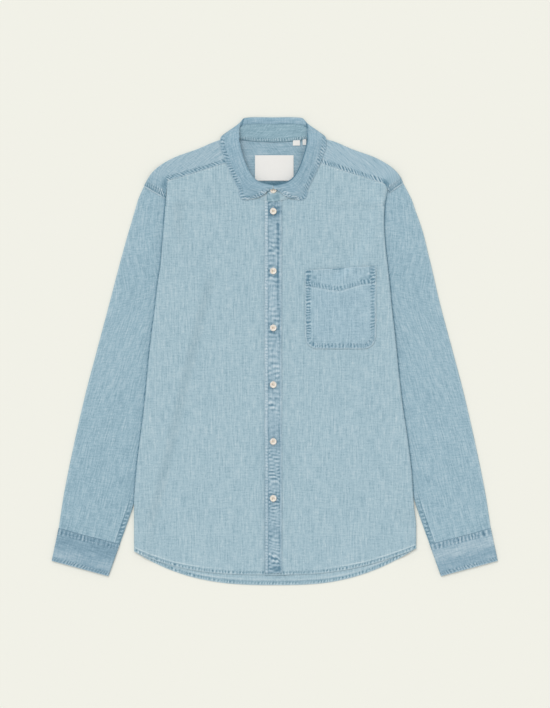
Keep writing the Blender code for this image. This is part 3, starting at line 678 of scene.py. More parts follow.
def front_points(side):
    bend, tip, _ = (np.array(p) for p in YOKE_CORNER[side])
    tip = tip - np.array((SEAM_CLEAR, 0))
    edge = side * CENTRE - PLACKET_WIDE / 2
    neck = [neck_edge(number, side) for number in (11, 10, 9, 8, 7)]
    neck.insert(1, between(neck[0], neck[1], 0.65))
    top = [np.array((edge, neck[0][1])), *neck]
    top += [between(neck[-1], bend, s) for s in YOKE_SEAM_SHARES]
    top += [between(bend, tip, s) for s in (0, 0.5, 1)]
    top = np.array(top) + np.array((0, TOP_UNDER))
    end = float(fold_line[side](FLAPS_FROM) - flap_width(FLAPS_FROM) - RAMP_CLEAR)
    start = end - RAMP
    crest = float(fold_line[side](FLAPS_FROM)) - TURN
    knots = [edge, 0, LAP_RAMP[0]]
    knots += [between(LAP_RAMP[1], start, k / 6) for k in range(6)]
    knots += [start, end, (end + crest) / 2, crest]
    xs = np.linspace(edge, crest, FRONT_COLUMNS)
    top_x = np.interp(xs, knots, top[:, 0])
    top_y = np.interp(xs, knots, top[:, 1])
    rows = []
    outer = xs + FRONT_SPREAD * ease((xs - crest + 14) / 14)
    for share in np.linspace(0, 1, 28)[:-1]:
        x, y = between(top_x, outer, share), between(top_y, FLAPS_FROM, share)
        z = front_high(side, x, y) - 0.5 * ease(1 - share * (top_y - FLAPS_FROM) / 4)
        z += (LAYER + MIDDLE + 1 - z) * ease((xs - crest + 4.5) / 4.5)
        row = beside(side * x, y, z)
        rows.append(np.pad(row, ((0, FRONT_TURN + FRONT_FLAP), (0, 0)), constant_values=np.nan))
    heights = np.linspace(FLAPS_FROM, LOW_LEVEL, int((FLAPS_FROM - LOW_LEVEL) / FRONT_PITCH))
    for level, share in levels_down(heights, 38):
        out = np.linspace(edge, float(fold_line[side](level)) - TURN, FRONT_COLUMNS)
        high = front_high(side, out, level)
        rows.append(body_row(side, level, share, FRONT_HEM[side], out, high, (1, -2), FRONT_TURN, FRONT_FLAP))
    return np.array(rows)


def edge_distance(points, line):
    """How far each point is from a line of spots, seen from above, and how far along it."""
    line = np.asarray(line, float)
    best = np.full(points.shape[:-1], 1e9)
    along = np.zeros(points.shape[:-1])
    run = 0
    for a, b in zip(line[:-1], line[1:]):
        span = b - a
        long = np.linalg.norm(span)
        x, y = points[..., 0] - a[0], points[..., 1] - a[1]
        share = np.clip((x * span[0] + y * span[1]) / long**2, 0, 1)
        gap = np.hypot(x - span[0] * share, y - span[1] * share)
        near = gap < best
        best = np.where(near, gap, best)
        along = np.where(near, run + share * long, along)
        run += long
    return best, along


fronts = []
for side, name in ((-1, "front_right"), (1, "front_left")):
    spots = front_points(side)
    x, y, high = parted(spots)
    upper = 1 * (np.arange(spots.shape[1]) < FRONT_COLUMNS)
    across = spread(spots * (1, 0, 1))[0]
    bend = np.array(YOKE_CORNER[side][0]) * (side, 1)
    neck = neck_edge(7, side) * (side, 1)
    seam_away, seam_along = edge_distance(spots, (neck, bend))
    hem_tone = hem_finish(spots, FRONT_HEM[side], 41 + side, 0.3, 4.4, 7.4)
    high += slack_of(x, y) * upper
    seam_pull = stripe(seam_away, 5) * roping(seam_along, seam_away, 0, 7, 6.1, 47)
    high += 0.2 * seam_pull * upper
    side_away = fold_line[side](y) - np.abs(x)
    tone = hem_tone * upper + 0.42 * stripe(seam_away, 1.5) + 0.12 * seam_pull
    # painted highlight: a faint pale line along each front's side fold, for the light on the roll of the fold
    tone += 0.10 * stripe(side_away - 2, 1.5) * upper
    # painted shade: the outermost columns of each front above the flaps, at the shoulder, are darkened for
    # the shadow line at that folded edge
    outermost = np.clip((np.arange(spots.shape[1]) - FRONT_COLUMNS + 3) / 2, 0, 1) * upper
    tone -= 0.9 * outermost * (y > FLAPS_FROM)
    piece = sheet_of_cloth(name + "_panel", spots, beside(across, -y), tone, CLOTH, body_cloth)
    fronts.append(piece)
    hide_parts(name)
    hem_x = np.linspace(4, 236, 120) * side
    hem_y = hem_line(hem_x, FRONT_HEM[side])
    stitches = sewn(piece, [beside(hem_x, hem_y + up) for up in (1.4, 4.6)])

# ------------------------------
# The sleeves. Each is one piece of chambray closed along the underarm with a felled seam and
# set into the armhole; flattened, it lies partly under the body's folded side.

CAP = {
    -1: np.array(((208, 286, 217.5, 290), (195.5, 278, 225.5, 273.7), (182, 270, 232.6, 256.7),
                  (180.2, 246, 238.8, 236), (179.8, 222, 244, 218), (175.8, 196, 250.6, 196),
                  (164.8, 170, 259, 166), (148.8, 146, 266, 140))),
    1: np.array(((206, 290.5, 215.5, 291.5), (197, 283.5, 225, 273.7), (188, 275, 233.4, 256.7),
                 (181, 246, 240.6, 236), (177.6, 222, 247.2, 218), (172.6, 196, 254, 196),
                 (161.9, 170, 261.2, 166), (146.5, 146, 267.6, 140))),
}
SLEEVE = np.array(((125.3, 119, 279.8, 86.7), (154, 24, 301.5, 5), (182, -70, 322.5, -75),
                   (211, -166, 341.5, -158), (240.5, -264, 359, -245), (263.3, -328.9, 367.7, -301.4)))
SLEEVE_ROWS = 280
SLEEVE_COLUMNS = 61
TURN_STEPS = 7


def flat_tube(inner, outer, low, high, closed, columns):
    """Rows of a flattened tube: over the top, round the outer fold, back below and round the inner fold."""
    out = (outer - inner) / np.linalg.norm(outer - inner, axis=1)[:, None]
    radius = (high - low) / 2
    inset = radius + 0.6
    turn = outer - out * inset
    begin = inner + out * (inset * closed)[:, None]
    share = np.linspace(0, 1, columns)[None, :, None]
    top = between(begin[:, None], turn[:, None], share)
    angles = np.pi / 2 - np.pi * np.arange(1, TURN_STEPS + 1) / (TURN_STEPS + 1)
    outside = turn[:, None] + out[:, None] * (np.cos(angles) * radius)[None, :, None]
    inside = begin[:, None] - out[:, None] * (np.cos(angles) * radius)[None, :, None]
    inside[closed < 1] = np.nan
    last = top[:, :1].copy()
    last[closed < 1] = np.nan
    below = top[:, ::-3]
    flat = np.concatenate((top, outside, below, inside, last), axis=1)
    around = (high + low) / 2 + np.sin(angles) * radius
    z = np.concatenate((np.full(columns, high), around, np.full(below.shape[1], low), around[::-1], [high]))
    return np.concatenate((flat, np.broadcast_to(z, flat.shape[:2])[..., None]), axis=2)


def running(line):
    """How far along a line each of its spots is."""
    return np.concatenate(([0], np.cumsum(np.linalg.norm(np.diff(line, axis=0), axis=1))))


def sleeve_points(side):
    """The sleeve's grid, how far down each row lies, and the row from which it is a closed tube."""
    table = np.concatenate((CAP[side], SLEEVE))
    centre = (table[:, 0:2] + table[:, 2:4]) / 2
    knots = running(centre)
    runs = np.linspace(0, knots[-1], SLEEVE_ROWS)
    lines = curve_through(knots, table)(runs)
    closed = np.clip((runs - knots[len(CAP[side])] + 12) / 12, 0, 1)
    points = flat_tube(lines[:, 0:2], lines[:, 2:4], MIDDLE, MIDDLE + LAYER, closed, SLEEVE_COLUMNS)
    return points, runs, int((closed < 1).sum())


sleeve_cloth = chambray("chambray_sleeve", (0.115, 0.234, 0.319), (0.331, 0.487, 0.572),
                        (0.61, 0.725, 0.775), 1.12)
for side, name in ((-1, "sleeve_right"), (1, "sleeve_left")):
    spots, runs, tube_from = sleeve_points(side)
    spots[..., 0] *= side
    across = spread(spots)[0]
    middle_across = across - across[:, SLEEVE_COLUMNS // 2][:, None]
    x, y, high = parted(spots)
    upper = 1 * (np.arange(spots.shape[1]) < SLEEVE_COLUMNS)
    beyond_fold = np.abs(x) - fold_line[side](y)
    outside = ease((beyond_fold - 1) / 15) * upper * ease((runs[:, None] - 16) / 26)
    share = np.zeros(spots.shape[1])
    share[:SLEEVE_COLUMNS] = np.linspace(0, 1, SLEEVE_COLUMNS)
    crown = np.clip(np.sin(np.pi * share), 0, None) ** 0.6
    run = np.broadcast_to(runs[:, None], x.shape)
    waves = 0.5 * wander(middle_across + 0.06 * run, 26, 51 + side) * (0.6 + 0.4 * wander(run, 90, 53))
    waves = waves + 0.3 * wander(run - 0.5 * middle_across, 70, 55 + side)
    high += outside * (1.3 * crown + waves * crown)
    inner_away = across
    ladder = roping(run, inner_away, 1, 6.4, 6.4, 57, -0.25) * outside
    high += 0.28 * ladder
    outer_away = across[:, SLEEVE_COLUMNS + 2][:, None] - across
    tone = 0.95 * ladder - 0.35 * ease((8 - inner_away) / 1.2) * outside
    tone += 0.5 * stripe(inner_away - 9.6, 0.9) * outside
    tone -= 0.6 * (stripe(inner_away - 7.6, 0.8) + stripe(inner_away - 0.3, 0.8)) * outside
    tone += 0.28 * stripe(outer_away, 2) * upper
    # painted shadow: a dark line on the sleeve just outside the body's fold, for the contact shadow that the
    # folded side casts on it
    tone -= stripe(beyond_fold - 0.3, 1.3) * upper
    tone += (-0.06 if side < 0 else 0) * ease((run - 300) / 200)
    cut = beside(middle_across, run)
    piece = sheet_of_cloth(name + "_piece", spots, cut, tone, CLOTH, sleeve_cloth, tube_from)
    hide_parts(name)
    top = (slice(tube_from, None), slice(0, SLEEVE_COLUMNS))
    stitches = sewn(piece, [level_line(spots[top], inner_away[top], inward) for inward in (1.3, 6.2)])

# ------------------------------
# The cuffs. Each is a doubled band of chambray, stiffened inside, sewn to the sleeve's end
# and topstitched all round; washing has puckered its edges and faded its middle.

CUFF = np.array(((263.2, -328.4, 367.6, -300.9), (282.8, -383, 379.5, -356.8)))
CUFF_LOW, CUFF_HIGH = 0.95, 3.05
CUFF_COLUMNS = 76
double_cloth = chambray("chambray_double", (0.090, 0.192, 0.273), (0.262, 0.402, 0.494), (0.54, 0.66, 0.72))
for side, name in ((-1, "cuff_right"), (1, "cuff_left")):
    lines = between(*CUFF, np.linspace(0, 1, 46)[:, None])
    spots = flat_tube(lines[:, 0:2], lines[:, 2:4], CUFF_LOW, CUFF_HIGH, np.ones(46), CUFF_COLUMNS)
    spots[..., 0] *= side
    across, down = spread(spots)
    tall = down[-1:, :]
    from_seam, from_edge = down, tall - down
    upper = 1 * (np.arange(spots.shape[1]) < CUFF_COLUMNS)
    seam_ladder = roping(across, from_seam, 2, 11, 6.8, 61 + side, 0.2)
    edge_ladder = roping(across, from_edge, 1, 7, 5, 65 + side)
    middle_waves = roping(across, from_seam, 12, 50, 9, 67 + side, 0.1)
    spots[..., 2] += upper * (0.36 * seam_ladder + 0.34 * edge_ladder + 0.07 * middle_waves)
    faded_at = 43 if side < 0 else 22
    faded = stripe(from_seam - faded_at, 9) * (0.8 + 0.4 * wander(across, 36, 69 + side))
    faded -= 0.4 * stripe(from_seam - 62 + faded_at, 9)
    tone = 0.85 * seam_ladder + 0.9 * edge_ladder + 0.06 * middle_waves + 0.36 * faded
    tone -= 0.22 * stripe(from_seam - 7, 4.5) + 0.24 * stripe(from_edge - 5, 3.5)
    tone += 0.35 * stripe(from_edge, 1.1) - 0.8 * stripe(from_seam - 0.7, 0.8)
    tone += 0.16 if side > 0 else -0.06
    piece = sheet_of_cloth(name + "_band", spots, beside(down, across), tone, 1.2, double_cloth, 0)
    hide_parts(name)
    tall = np.linalg.norm(CUFF[1, 0:2] - CUFF[0, 0:2])
    rows = []
    for share in (1.6 / tall, 8.5 / tall, 1 - 4.8 / tall):
        line = between(*CUFF, share) * (side, 1, side, 1)
        rows.append(between(line[:2], line[2:], np.linspace(0.02, 0.98, 60)[:, None]))
    stitches = [sewn(piece, rows), sewn(piece, rows, from_below=True)]

# ------------------------------
# The placket. A doubled band down the left front's edge, topstitched along both sides,
# drawn up in small puckers between the rows and holding the buttonholes.

PLACKET_TOP, PLACKET_END = 255.2, -377.5
HOLES_AT = [237.5] + [136 - 96.6 * k for k in range(5)]
ys = np.linspace(PLACKET_TOP, PLACKET_END, 430)
xs = np.linspace(0, PLACKET_WIDE, 25)
wide, tall = np.meshgrid(xs, ys)
left_edge = CENTRE - PLACKET_WIDE / 2
sway = 0.5 * wander(tall, 60, 71)
low_down = 0.6 + 0.6 * ease((40 - tall) / 300)
# two crossing ladders above and two finer ones below: weight, pitch, seed and slant
LADDERS = (((0.65, 7.8, 72, 0.2), (0.5, 9.3, 92, -0.24)), ((0.75, 6, 104, 0.25), (0.5, 7.1, 105, -0.3)))
puckers, low = (sum(weight * roping(tall, wide - 6.5, 0.5, 18.5, *ladder) for weight, *ladder in pair)
                for pair in LADDERS)
puckers += (low - puckers) * ease((-130 - tall) / 70)
puckers *= np.clip(0.8 + 0.6 * wander(tall, 22, 77), 0.5, 1.2) * low_down
crumple = 0.6 * wander(tall + 0.5 * wide, 3.6, 78) * wander(wide - 0.3 * tall, 4.2, 79)
puckers += crumple * ease((wide - 6) / 3) * (1.4 - low_down)
left_ladder = roping(tall, wide, 0.8, 5, 5.2, 73, 0.2)
right_ladder = roping(tall, PLACKET_WIDE - wide, 0.8, 5, 5.2, 74, -0.2)
ridge = stripe(wide - 6.3, 0.8)
high = 3 * LAYER + MIDDLE + 0.30 * puckers + 0.22 * (left_ladder + right_ladder) - 0.35 * ridge
high += 0.15 * wander(tall, 11, 75) * ease((wide - 6) / 6) * ease((26 - wide) / 6)
spots = beside(left_edge + wide + sway * 0.6, tall, high)
tone = puckers + 0.5 * left_ladder + 0.1 * right_ladder - 0.8 * ridge * (0.7 + 0.3 * wander(tall, 9, 80))
tone += 0.25 * ease((5.2 - wide) / 1.2) - 0.12 * ease(wide - 6.5) * ease((21 - wide) / 2)
tone -= 0.7 * stripe(wide, 0.9) * ease((-90 - tall) / 140)
tone -= 0.12 * ease((-120 - tall) / 120)
# painted shade: a dark slanting line just below the collar, for the shaded fold of a small wrinkle
tone -= 1.1 * stripe(edge_distance(spots, ((-10.5, 251.2), (5, 258.4)))[0], 0.9)
# painted shade: the placket's top, from about the first button up to the collar, is darkened for the shade
# beneath the collar's front ends
tone -= 0.45 * ease((tall - 222) / 12) * ease((258 - tall) / 16) * ease((wide - 5) / 2)
# painted shadow: strip marks a dark line down the placket's right part, just right of the buttons, strongest
# from about 50 to 228 mm up and faint along the rest
strip = stripe(wide - 22.5, 1.7)
tone += -0.8 * strip * ease((tall - 50) / 60) * ease((228 - tall) / 10) - 0.1 * strip
tone -= 0.5 * stripe(wide - 25, 0.9) * ease((100 - tall) / 40)
for y in HOLES_AT:
    tone -= 0.35 * stripe(tall - y + 1, 10) * ease((wide - 5.5) / 1.5) * ease((26 - wide) / 2)
tone += 0.06 * ease((wide - 26) / 1.5) + 0.14 * wander(tall, 26, 76) * ease((wide - 6) / 3)
tone -= 0.7 * stripe(tall - PLACKET_END - 7, 2.4) * ease((wide - 8) / 2) * ease((28 - wide) / 2)
placket_cloth = chambray("chambray_placket", (0.125, 0.240, 0.328), (0.362, 0.505, 0.590),
                         (0.66, 0.755, 0.80))
placket = sheet_of_cloth("placket_band", spots, beside(wide, tall), tone, 1, placket_cloth)
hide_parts("placket")
rows = [beside(left_edge + out + 0.3 * wander(ys, 60, 71), ys) for out in (1.3, 4.4, 27.4)]
stitches = [sewn(placket, rows)]
HOLE_LONG, SATIN, BAR = 14.6, (1.35, 0.52, 0.34, math.pi / 2), (3.1, 0.5, 0.36, math.pi / 2)
slit = np.linspace(-HOLE_LONG / 2, HOLE_LONG / 2, 12)
sides, ends = [], []
for y in HOLES_AT:
    sides += [beside(CENTRE + out, y + slit) for out in (-0.8, 0.8)]
    ends += [[(CENTRE, y + end * (HOLE_LONG / 2 + on)) for on in (0, 1.3)] for end in (-1, 1)]
stitches += [sewn(placket, sides, stitch=SATIN, ending="buttonholes"),
             sewn(placket, ends, stitch=BAR, ending="bars")]

# ------------------------------
# The pocket on the left front. A patch with rounded lower corners and a hem that comes to a
# shallow point, its edges turned in and held by two rows of stitches; its folded hem gapes a little.

POCKET_LEFT, POCKET_RIGHT, POCKET_END = 52, 171.6, 4
POCKET_TOP = (137, 144.5)
POCKET_CORNER = 21
POCKET_COLUMNS, POCKET_ROWS = 82, 98


def evenly(line, count):
    """A line smoothed and divided evenly."""
    run = running(line)
    return curve_through(run, line)(np.linspace(0, run[-1], count))


def pocket_shape():
    """A grid over the patch, its columns drawn in round the lower corners, and the height of its top."""
    wide, tall = np.meshgrid(np.linspace(0, 1, POCKET_COLUMNS), np.linspace(0, 1, POCKET_ROWS))
    x = between(POCKET_LEFT, POCKET_RIGHT, wide)
    top = between(*POCKET_TOP, wide)
    inset = np.maximum(0, POCKET_CORNER - np.minimum(x - POCKET_LEFT, POCKET_RIGHT - x))
    low = POCKET_END + POCKET_CORNER - np.sqrt(np.maximum(POCKET_CORNER**2 - inset**2, 0))
    return x, between(top, low, tall), top


x, y, top_y = pocket_shape()
width = POCKET_RIGHT - POCKET_LEFT
sides_line = [(POCKET_LEFT, POCKET_TOP[0]), (POCKET_LEFT, POCKET_END + POCKET_CORNER)]
for corner_x, angles in ((POCKET_LEFT + POCKET_CORNER, (205, 230, 255, 270)),
                         (POCKET_RIGHT - POCKET_CORNER, (270, 285, 310, 335))):
    for angle in np.radians(angles):
        sides_line.append((corner_x + POCKET_CORNER * math.cos(angle),
                           POCKET_END + POCKET_CORNER * (1 + math.sin(angle))))
sides_line += [(POCKET_RIGHT, POCKET_END + POCKET_CORNER), (POCKET_RIGHT, POCKET_TOP[1])]
place = beside(x, y)
edge_away, edge_along = edge_distance(place, sides_line)
HEM_POINT = ((52, 59, 93, 111, 146, 163, 171.6), (110.5, 109.5, 103.5, 101.5, 112.2, 114.5, 115.5))
hem_away = y - np.interp(x, *HEM_POINT)
edge_ladder = roping(edge_along, edge_away, 1.2, 8.6, 5.2, 81, 0.1)
hem_ladder = roping(x, hem_away, 1, 8, 5, 84, 0.2)
gape = 0.9 * stripe(top_y - y, 5) * ease((x - POCKET_LEFT) / 30) * ease((POCKET_RIGHT - x) / 30)
high = front_high(1, x, y) + slack_of(x, y) + LAYER + 0.25
high += 0.36 * edge_ladder + 0.30 * hem_ladder + gape + 0.45 * ease(hem_away / 2)
high += 0.35 * ease((edge_away - 7) / 6) * (1 + 0.6 * wander(x, 22, 86) * wander(y, 30, 87))
tone = 0.85 * edge_ladder + 0.7 * hem_ladder
tone += 0.75 * stripe(edge_away, 1.3) - 0.29 * ease((9.4 - edge_away) / 1.6)
tone += -0.26 * ease(hem_away) * ease((9 - hem_away) / 2) + 0.36 * stripe(hem_away + 1.2, 1.2)
# painted shade: the last term darkens the pocket's leftmost 10 mm, for the shadow inside its left edge along
# the stitches
tone += -0.10 + 0.12 * wander(x, 14, 88) * wander(y, 20, 89) - 0.12 * ease((POCKET_LEFT + 10 - x) / 2)
mark = stripe(edge_distance(place, ((99, 138.9), (118.5, 140.6)))[0], 0.8)
for corner_x, reach in ((POCKET_LEFT + 9, 12), (POCKET_RIGHT - 13, 17)):
    corner = np.exp(-((x - corner_x) / reach) ** 2 - ((top_y - y - 14) / 14) ** 2)
    tone += corner * (-0.22 + 0.8 * wander(x + 0.4 * y, 3.4, 90) * wander(y - 0.3 * x, 3.8, 91))
tone += -1.5 * mark + 0.45 * stripe(top_y - y, 1)
pocket_cloth = chambray("chambray_pocket", (0.126, 0.250, 0.340), (0.382, 0.536, 0.620), (0.68, 0.775, 0.82))
pocket = sheet_of_cloth("pocket_patch", beside(x, y, high), place, tone, CLOTH, pocket_cloth)
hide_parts("pocket")
rows = []
outline = np.array(sides_line)
for inward in (1.7, 6.6):
    middle = np.array(((POCKET_LEFT + POCKET_RIGHT) / 2, 70))
    inner = middle + (outline - middle) * (1 - 2 * inward / width, 1 - inward / (middle[1] - POCKET_END))
    inner[[0, -1], 1] = np.array(POCKET_TOP) - 1
    rows.append(evenly(inner, 180))
hem_x = np.linspace(POCKET_LEFT + 1.5, POCKET_RIGHT - 1.5, 60)
rows.append(beside(hem_x, np.interp(hem_x, *HEM_POINT) + 1))
stitches = sewn(pocket, rows)

# ------------------------------
# The collar stand. A doubled band sewn round the neck and buttoned at the front, where its
# ends lap; behind the neck it lies back with its inside showing.

STAND_DROP, STAND_DROP_BACK = 3, 11
STAND_GAP, STAND_LAP_DROP = 2, 1.8
STAND_LAPS, STAND_OVER = 2.8, 1
ROLL_HEIGHT, ROLL_TOP, ROLL_WIDE, ROLL_BACK = 4, 0.4, 4.5, 1
LAP = 10
# how flat the collar lies, from the centre back round to where it stands up
LYING = np.interp(np.arange(len(COLLAR)), (2, 3, 4, 5), (1, 0.6, 0.2, 0))


def collar_frame(number):
    """How flat the collar lies at a station, its seam, roll and edge, and where the fall begins."""
    seam_x, seam_y, roll_x, roll_y, roll_z, edge_x, edge_y, edge_z = COLLAR[number]
    flat = LYING[number]
    seam = np.array((seam_x, seam_y, 0))
    roll = np.array((roll_x, roll_y, roll_z))
    lean = (roll - seam) * (1, 1, 0)
    lean /= np.linalg.norm(lean)
    roll -= lean * ROLL_BACK * (1 - flat)
    begin = roll - lean * (STAND_DROP + (STAND_DROP_BACK - STAND_DROP) * flat)
    begin[2] = roll_z - ROLL_HEIGHT * (1 - flat) + ROLL_TOP * flat
    return flat, seam, roll, np.array((edge_x, edge_y, edge_z)), begin


def sewn_high(number, side):
    """Middle of the cloth that the stand is sewn to."""
    if number < 4:
        return MIDDLE
    if number == 4:
        return LAYER / 2 + MIDDLE
    if number < 8:
        return LAYER + MIDDLE + 0.3
    if side < 0:
        return LAYER + MIDDLE
    return LAYER * float(np.interp(number, (9, 10, 11), (1, 2, 2.9))) + MIDDLE


def stand_line(number, side):
    """The stand's line at a station, from its seam up to its top."""
    flat, seam, roll, _, begin = collar_frame(number)
    lean = (roll - seam) * (1, 1, 0)
    seam -= lean / np.linalg.norm(lean) * STAND_LAPS
    seam[2] = sewn_high(number, side) + STAND_OVER
    drop = STAND_LAP_DROP * float(np.interp(number, (8, 10), (0, 1))) if side < 0 else 0
    top = begin + (seam - begin) / np.linalg.norm(seam - begin) * (STAND_GAP * (1 - flat) + 0.2)
    top[2] -= drop
    line = [seam]
    for share, climb, more in ((0.25, 0.4, 0.5), (0.62, 0.7, 0.3)):
        line.append(between(seam, top, (share, share, climb + more * flat)))
    return np.array(line + [top])


def round_the_neck(line_of, fine, count, lap=False):
    """A grid from one front end round the back to the other, smoothed between the stations."""
    halves = []
    for side in (-1, 1):
        lines = [line_of(number, side) for number in range(len(COLLAR))]
        if lap:
            lines.append(np.array([(-LAP, p[1] - 0.2, p[2]) for p in lines[-1]]))
        lines = finer(lines, (len(lines) - 1) * fine + 1)
        lines[..., 0] = CENTRE + side * lines[..., 0]
        halves.append(lines)
    return np.array([evenly(line, count) for line in (*halves[0][::-1], *halves[1][1:])])


spots = round_the_neck(stand_line, 24, 22, lap=True)
across, down = spread(spots)
x, y, high = parted(spots)
x = x - CENTRE
from_seam, from_top = across, across[:, -1:] - across
around = down[:, :1] + 0 * down
seam_ladder = roping(around, from_seam, 1.2, 6, 4, 91, 0.1)
top_ladder = roping(around, from_top, 0.5, 5, 5.2, 92)
lying = np.interp(np.abs(x), (50, 62), (1, 0)) * (y > 330)
high += 0.30 * seam_ladder * lying
tone = 0.8 * seam_ladder * lying + 0.15 * top_ladder * lying - 0.10 - 0.3 * stripe(from_top, 1) * lying
# painted shade: where the stand stands up, its top few millimetres are darkened for the shade inside the
# collar
tone += -0.5 * ease((3 - from_top) / 2) * (1 - lying) - 0.08 * lying
tone -= 0.8 * stripe(from_seam - 0.3, 0.9) * lying
band = ease((x + 11.5) / 1.5) * ease((12 - x) / 1.5)
worn = 0.4 - 0.36 * band + 0.4 * stripe(x + 12.4, 1.3) - 0.6 * stripe(x + 9.8, 0.8)
worn += 1.2 * wander(x + 0.6 * y, 3.4, 93) * wander(y - 0.4 * x, 3.8, 94) * band
tone += worn * ease((272 - y) / 3)
high -= 0.6 * stripe(from_seam, 3) * ease((np.abs(x) - 13) / 3) * (y < 290)
stand_cloth = chambray("chambray_stand", (0.112, 0.230, 0.310), (0.325, 0.485, 0.560), (0.60, 0.71, 0.76))
stand = sheet_of_cloth("collar_stand_band", spots, beside(across, down), tone, 1, stand_cloth)
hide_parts("collar_stand")
STAND_HOLE = 274
sides = [beside(CENTRE + slit, STAND_HOLE + up) for up in (-0.8, 0.8)]
stitches = [sewn(stand, [level_line(spots, from_seam, 1.8)[30:-30]])]
stitches += [sewn(stand, sides, stitch=SATIN, ending="buttonhole")]

# ------------------------------
# The collar's fall. A doubled, stiffened leaf folded over the stand and topstitched near its
# edge; washing has drawn its edge up into a ladder of small puckers.

FALL_CURVE = ((0.38, 0.78), (0.7, 0.42))
LEAF_FRONT = ((0.4, 276), (6.8, 273.4), (22, 262.4))
FALL_BOW = 0.8


def fall_line(number, side):
    """The fall's line at a station, from inside the stand over the roll to the leaf's edge."""
    flat, _, roll, edge, begin = collar_frame(number)
    away = (edge - roll) * (1, 1, 0)
    away /= np.linalg.norm(away)
    before = between(begin, roll, 0.6)
    before[2] = roll[2] + 0.5 * flat - 0.6 * (1 - flat)
    after = roll + away * ROLL_WIDE * (1 - flat / 3)
    after[2] = between(roll[2], edge[2], flat) - 0.9 * (1 - flat)
    line = []
    bow = np.array((-away[1], away[0], 0)) * FALL_BOW * 4 * flat * (1 - flat)
    for share, height in FALL_CURVE:
        line.append(between(roll, edge, share) + bow)
        line[-1][2] = between(edge[2], roll[2], height * (1 - flat))
    crest = roll.copy()
    crest[2] += ROLL_TOP * (1 - flat) - 1.1 * flat
    line = np.array([begin, before, crest, after, *line, edge])
    if number == len(COLLAR) - 1:
        line[2, 0] = 0.3
        line[3:6, 0:2] = LEAF_FRONT
        line[3:5, 2] += (1.5, 1)
    return line


DRAPE = 4


def resting_on(pieces, points, above):
    """How high each point lies, this far above the highest of these pieces, its steps bridged softly."""
    high = np.zeros(points.shape[:2])
    for piece in pieces:
        felt = feeler(piece, -1)
        for place in np.ndindex(high.shape):
            hit = felt(*points[place][0:2])
            if hit is not None:
                high[place] = max(high[place], hit.z * 1000)
    for pick in (np.max, np.mean):
        wide, near = np.pad(high, DRAPE, mode="edge"), range(-DRAPE, DRAPE + 1)
        moved = [np.roll(wide, (i, j), (0, 1)) for i in near for j in near]
        high = pick(moved, axis=0)[DRAPE:-DRAPE, DRAPE:-DRAPE]
    return high + above


spots = round_the_neck(fall_line, 16, 66)
across, down = spread(spots)
x, y, high = parted(spots)
around = running(spots[:, -1])[:, None] + 0 * across
from_edge = across[:, -1:] - across
front_left_end, front_right_end = down[-1:] - down, down
end_away = np.minimum(front_left_end, front_right_end)
edge_ladder = roping(around, from_edge, 1.2, 8, 5, 95, 0.45)
end_ladder = roping(across, end_away, 0.6, 3, 4.2, 97, 0.7) + roping(across, end_away, 5, 7.4, 4.2, 103, 0.7)
end_ladder *= ease((from_edge - 2) / 3) * ease((across - 12) / 4)
shown = np.interp(y, (346, 360), (1, 0))
creased = 0 * from_edge
station = np.abs(np.arange(len(spots)) - len(spots) // 2) / 16
standing = 1 - 0.8 * np.interp(station, np.arange(len(COLLAR)), LYING)[:, None]
ground = resting_on((yoke, *fronts, placket, stand), spots, 1)
lift = ease(from_edge / (0.75 * across[:, -1:]))
high[:] = np.where(shown > 0, ground + (np.maximum(high, ground) - ground) * lift * shown
                   + (high - ground) * (1 - shown), high)
high += (0.40 * edge_ladder + 0.30 * end_ladder) * shown
high -= 0.35 * stripe(np.minimum(from_edge, end_away), 2.5) * shown
# the collar's back corners bend along these creases: they are sunk a little, and their darkening below is
# painted shade in the crease
for side, crease_line in ((-1, ((-52.5, 396), (-58.2, 378))), (1, ((53.2, 395), (55.5, 379)))):
    crease = edge_distance(spots, crease_line)[0]
    creased = np.maximum(creased, stripe(crease, 1.3) * (high > 2.2))
high -= 0.35 * creased
soft = wander(across, 16, 98) * wander(around, 46, 99)
high += 0.35 * soft * ease((across - 14) / 8) * shown
# painted shade: inner darkens the inside of the roll where the collar stands, plus a line along the crest's
# inner edge, stronger on the wearer's left where the key light casts no real shadow; it is taken off the tone
# below
inner = ease((3.4 - across) / 1.6) * standing * 0.8
brim = np.argmin(np.abs(spots[:, :26, 0] - CENTRE), axis=1)[:, None]
brim_away = across - np.take_along_axis(across, brim, axis=1)
inner += stripe(brim_away - 0.4, 0.9) * standing * np.where(x > CENTRE, 1.3, 0.3)
tip = ease((13 - end_away) / 5) * ease((from_edge - 1) / 2) * ease((across - 10) / 4) * shown
mottled = wander(across + 0.5 * around, 3, 101) * wander(around - 0.4 * across, 3.3, 102) * tip
tone = 0.85 * edge_ladder + 2 * end_ladder + 1.3 * mottled + 0.12 * soft
# painted shade: inner and creased darken the roll's inside and the creases here
tone -= inner + 0.20 * ease((9.5 - from_edge) / 2) + 0.9 * creased
tone += 0.30 * stripe(from_edge, 1.1) + 0.45 * stripe(end_away, 1.1)
tone += np.where(x < CENTRE, -0.04, 0.02)
collar_cloth = chambray("chambray_collar", (0.105, 0.222, 0.310), (0.300, 0.455, 0.552), (0.58, 0.70, 0.76))
fall = sheet_of_cloth("collar_fall_leaf", spots, beside(across, around), tone, 1.1, collar_cloth)
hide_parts("collar_fall")
rows = [level_line(spots[:, ::-1], from_edge[:, ::-1], inward)[4:-4] for inward in (1.6, 6.4)]
for end in (front_left_end, front_right_end):
    rows += [level_line(spots.swapaxes(0, 1)[16:-4], end.T[16:-4], inward) for inward in (1.7, 6)]
stitches = sewn(fall, rows)
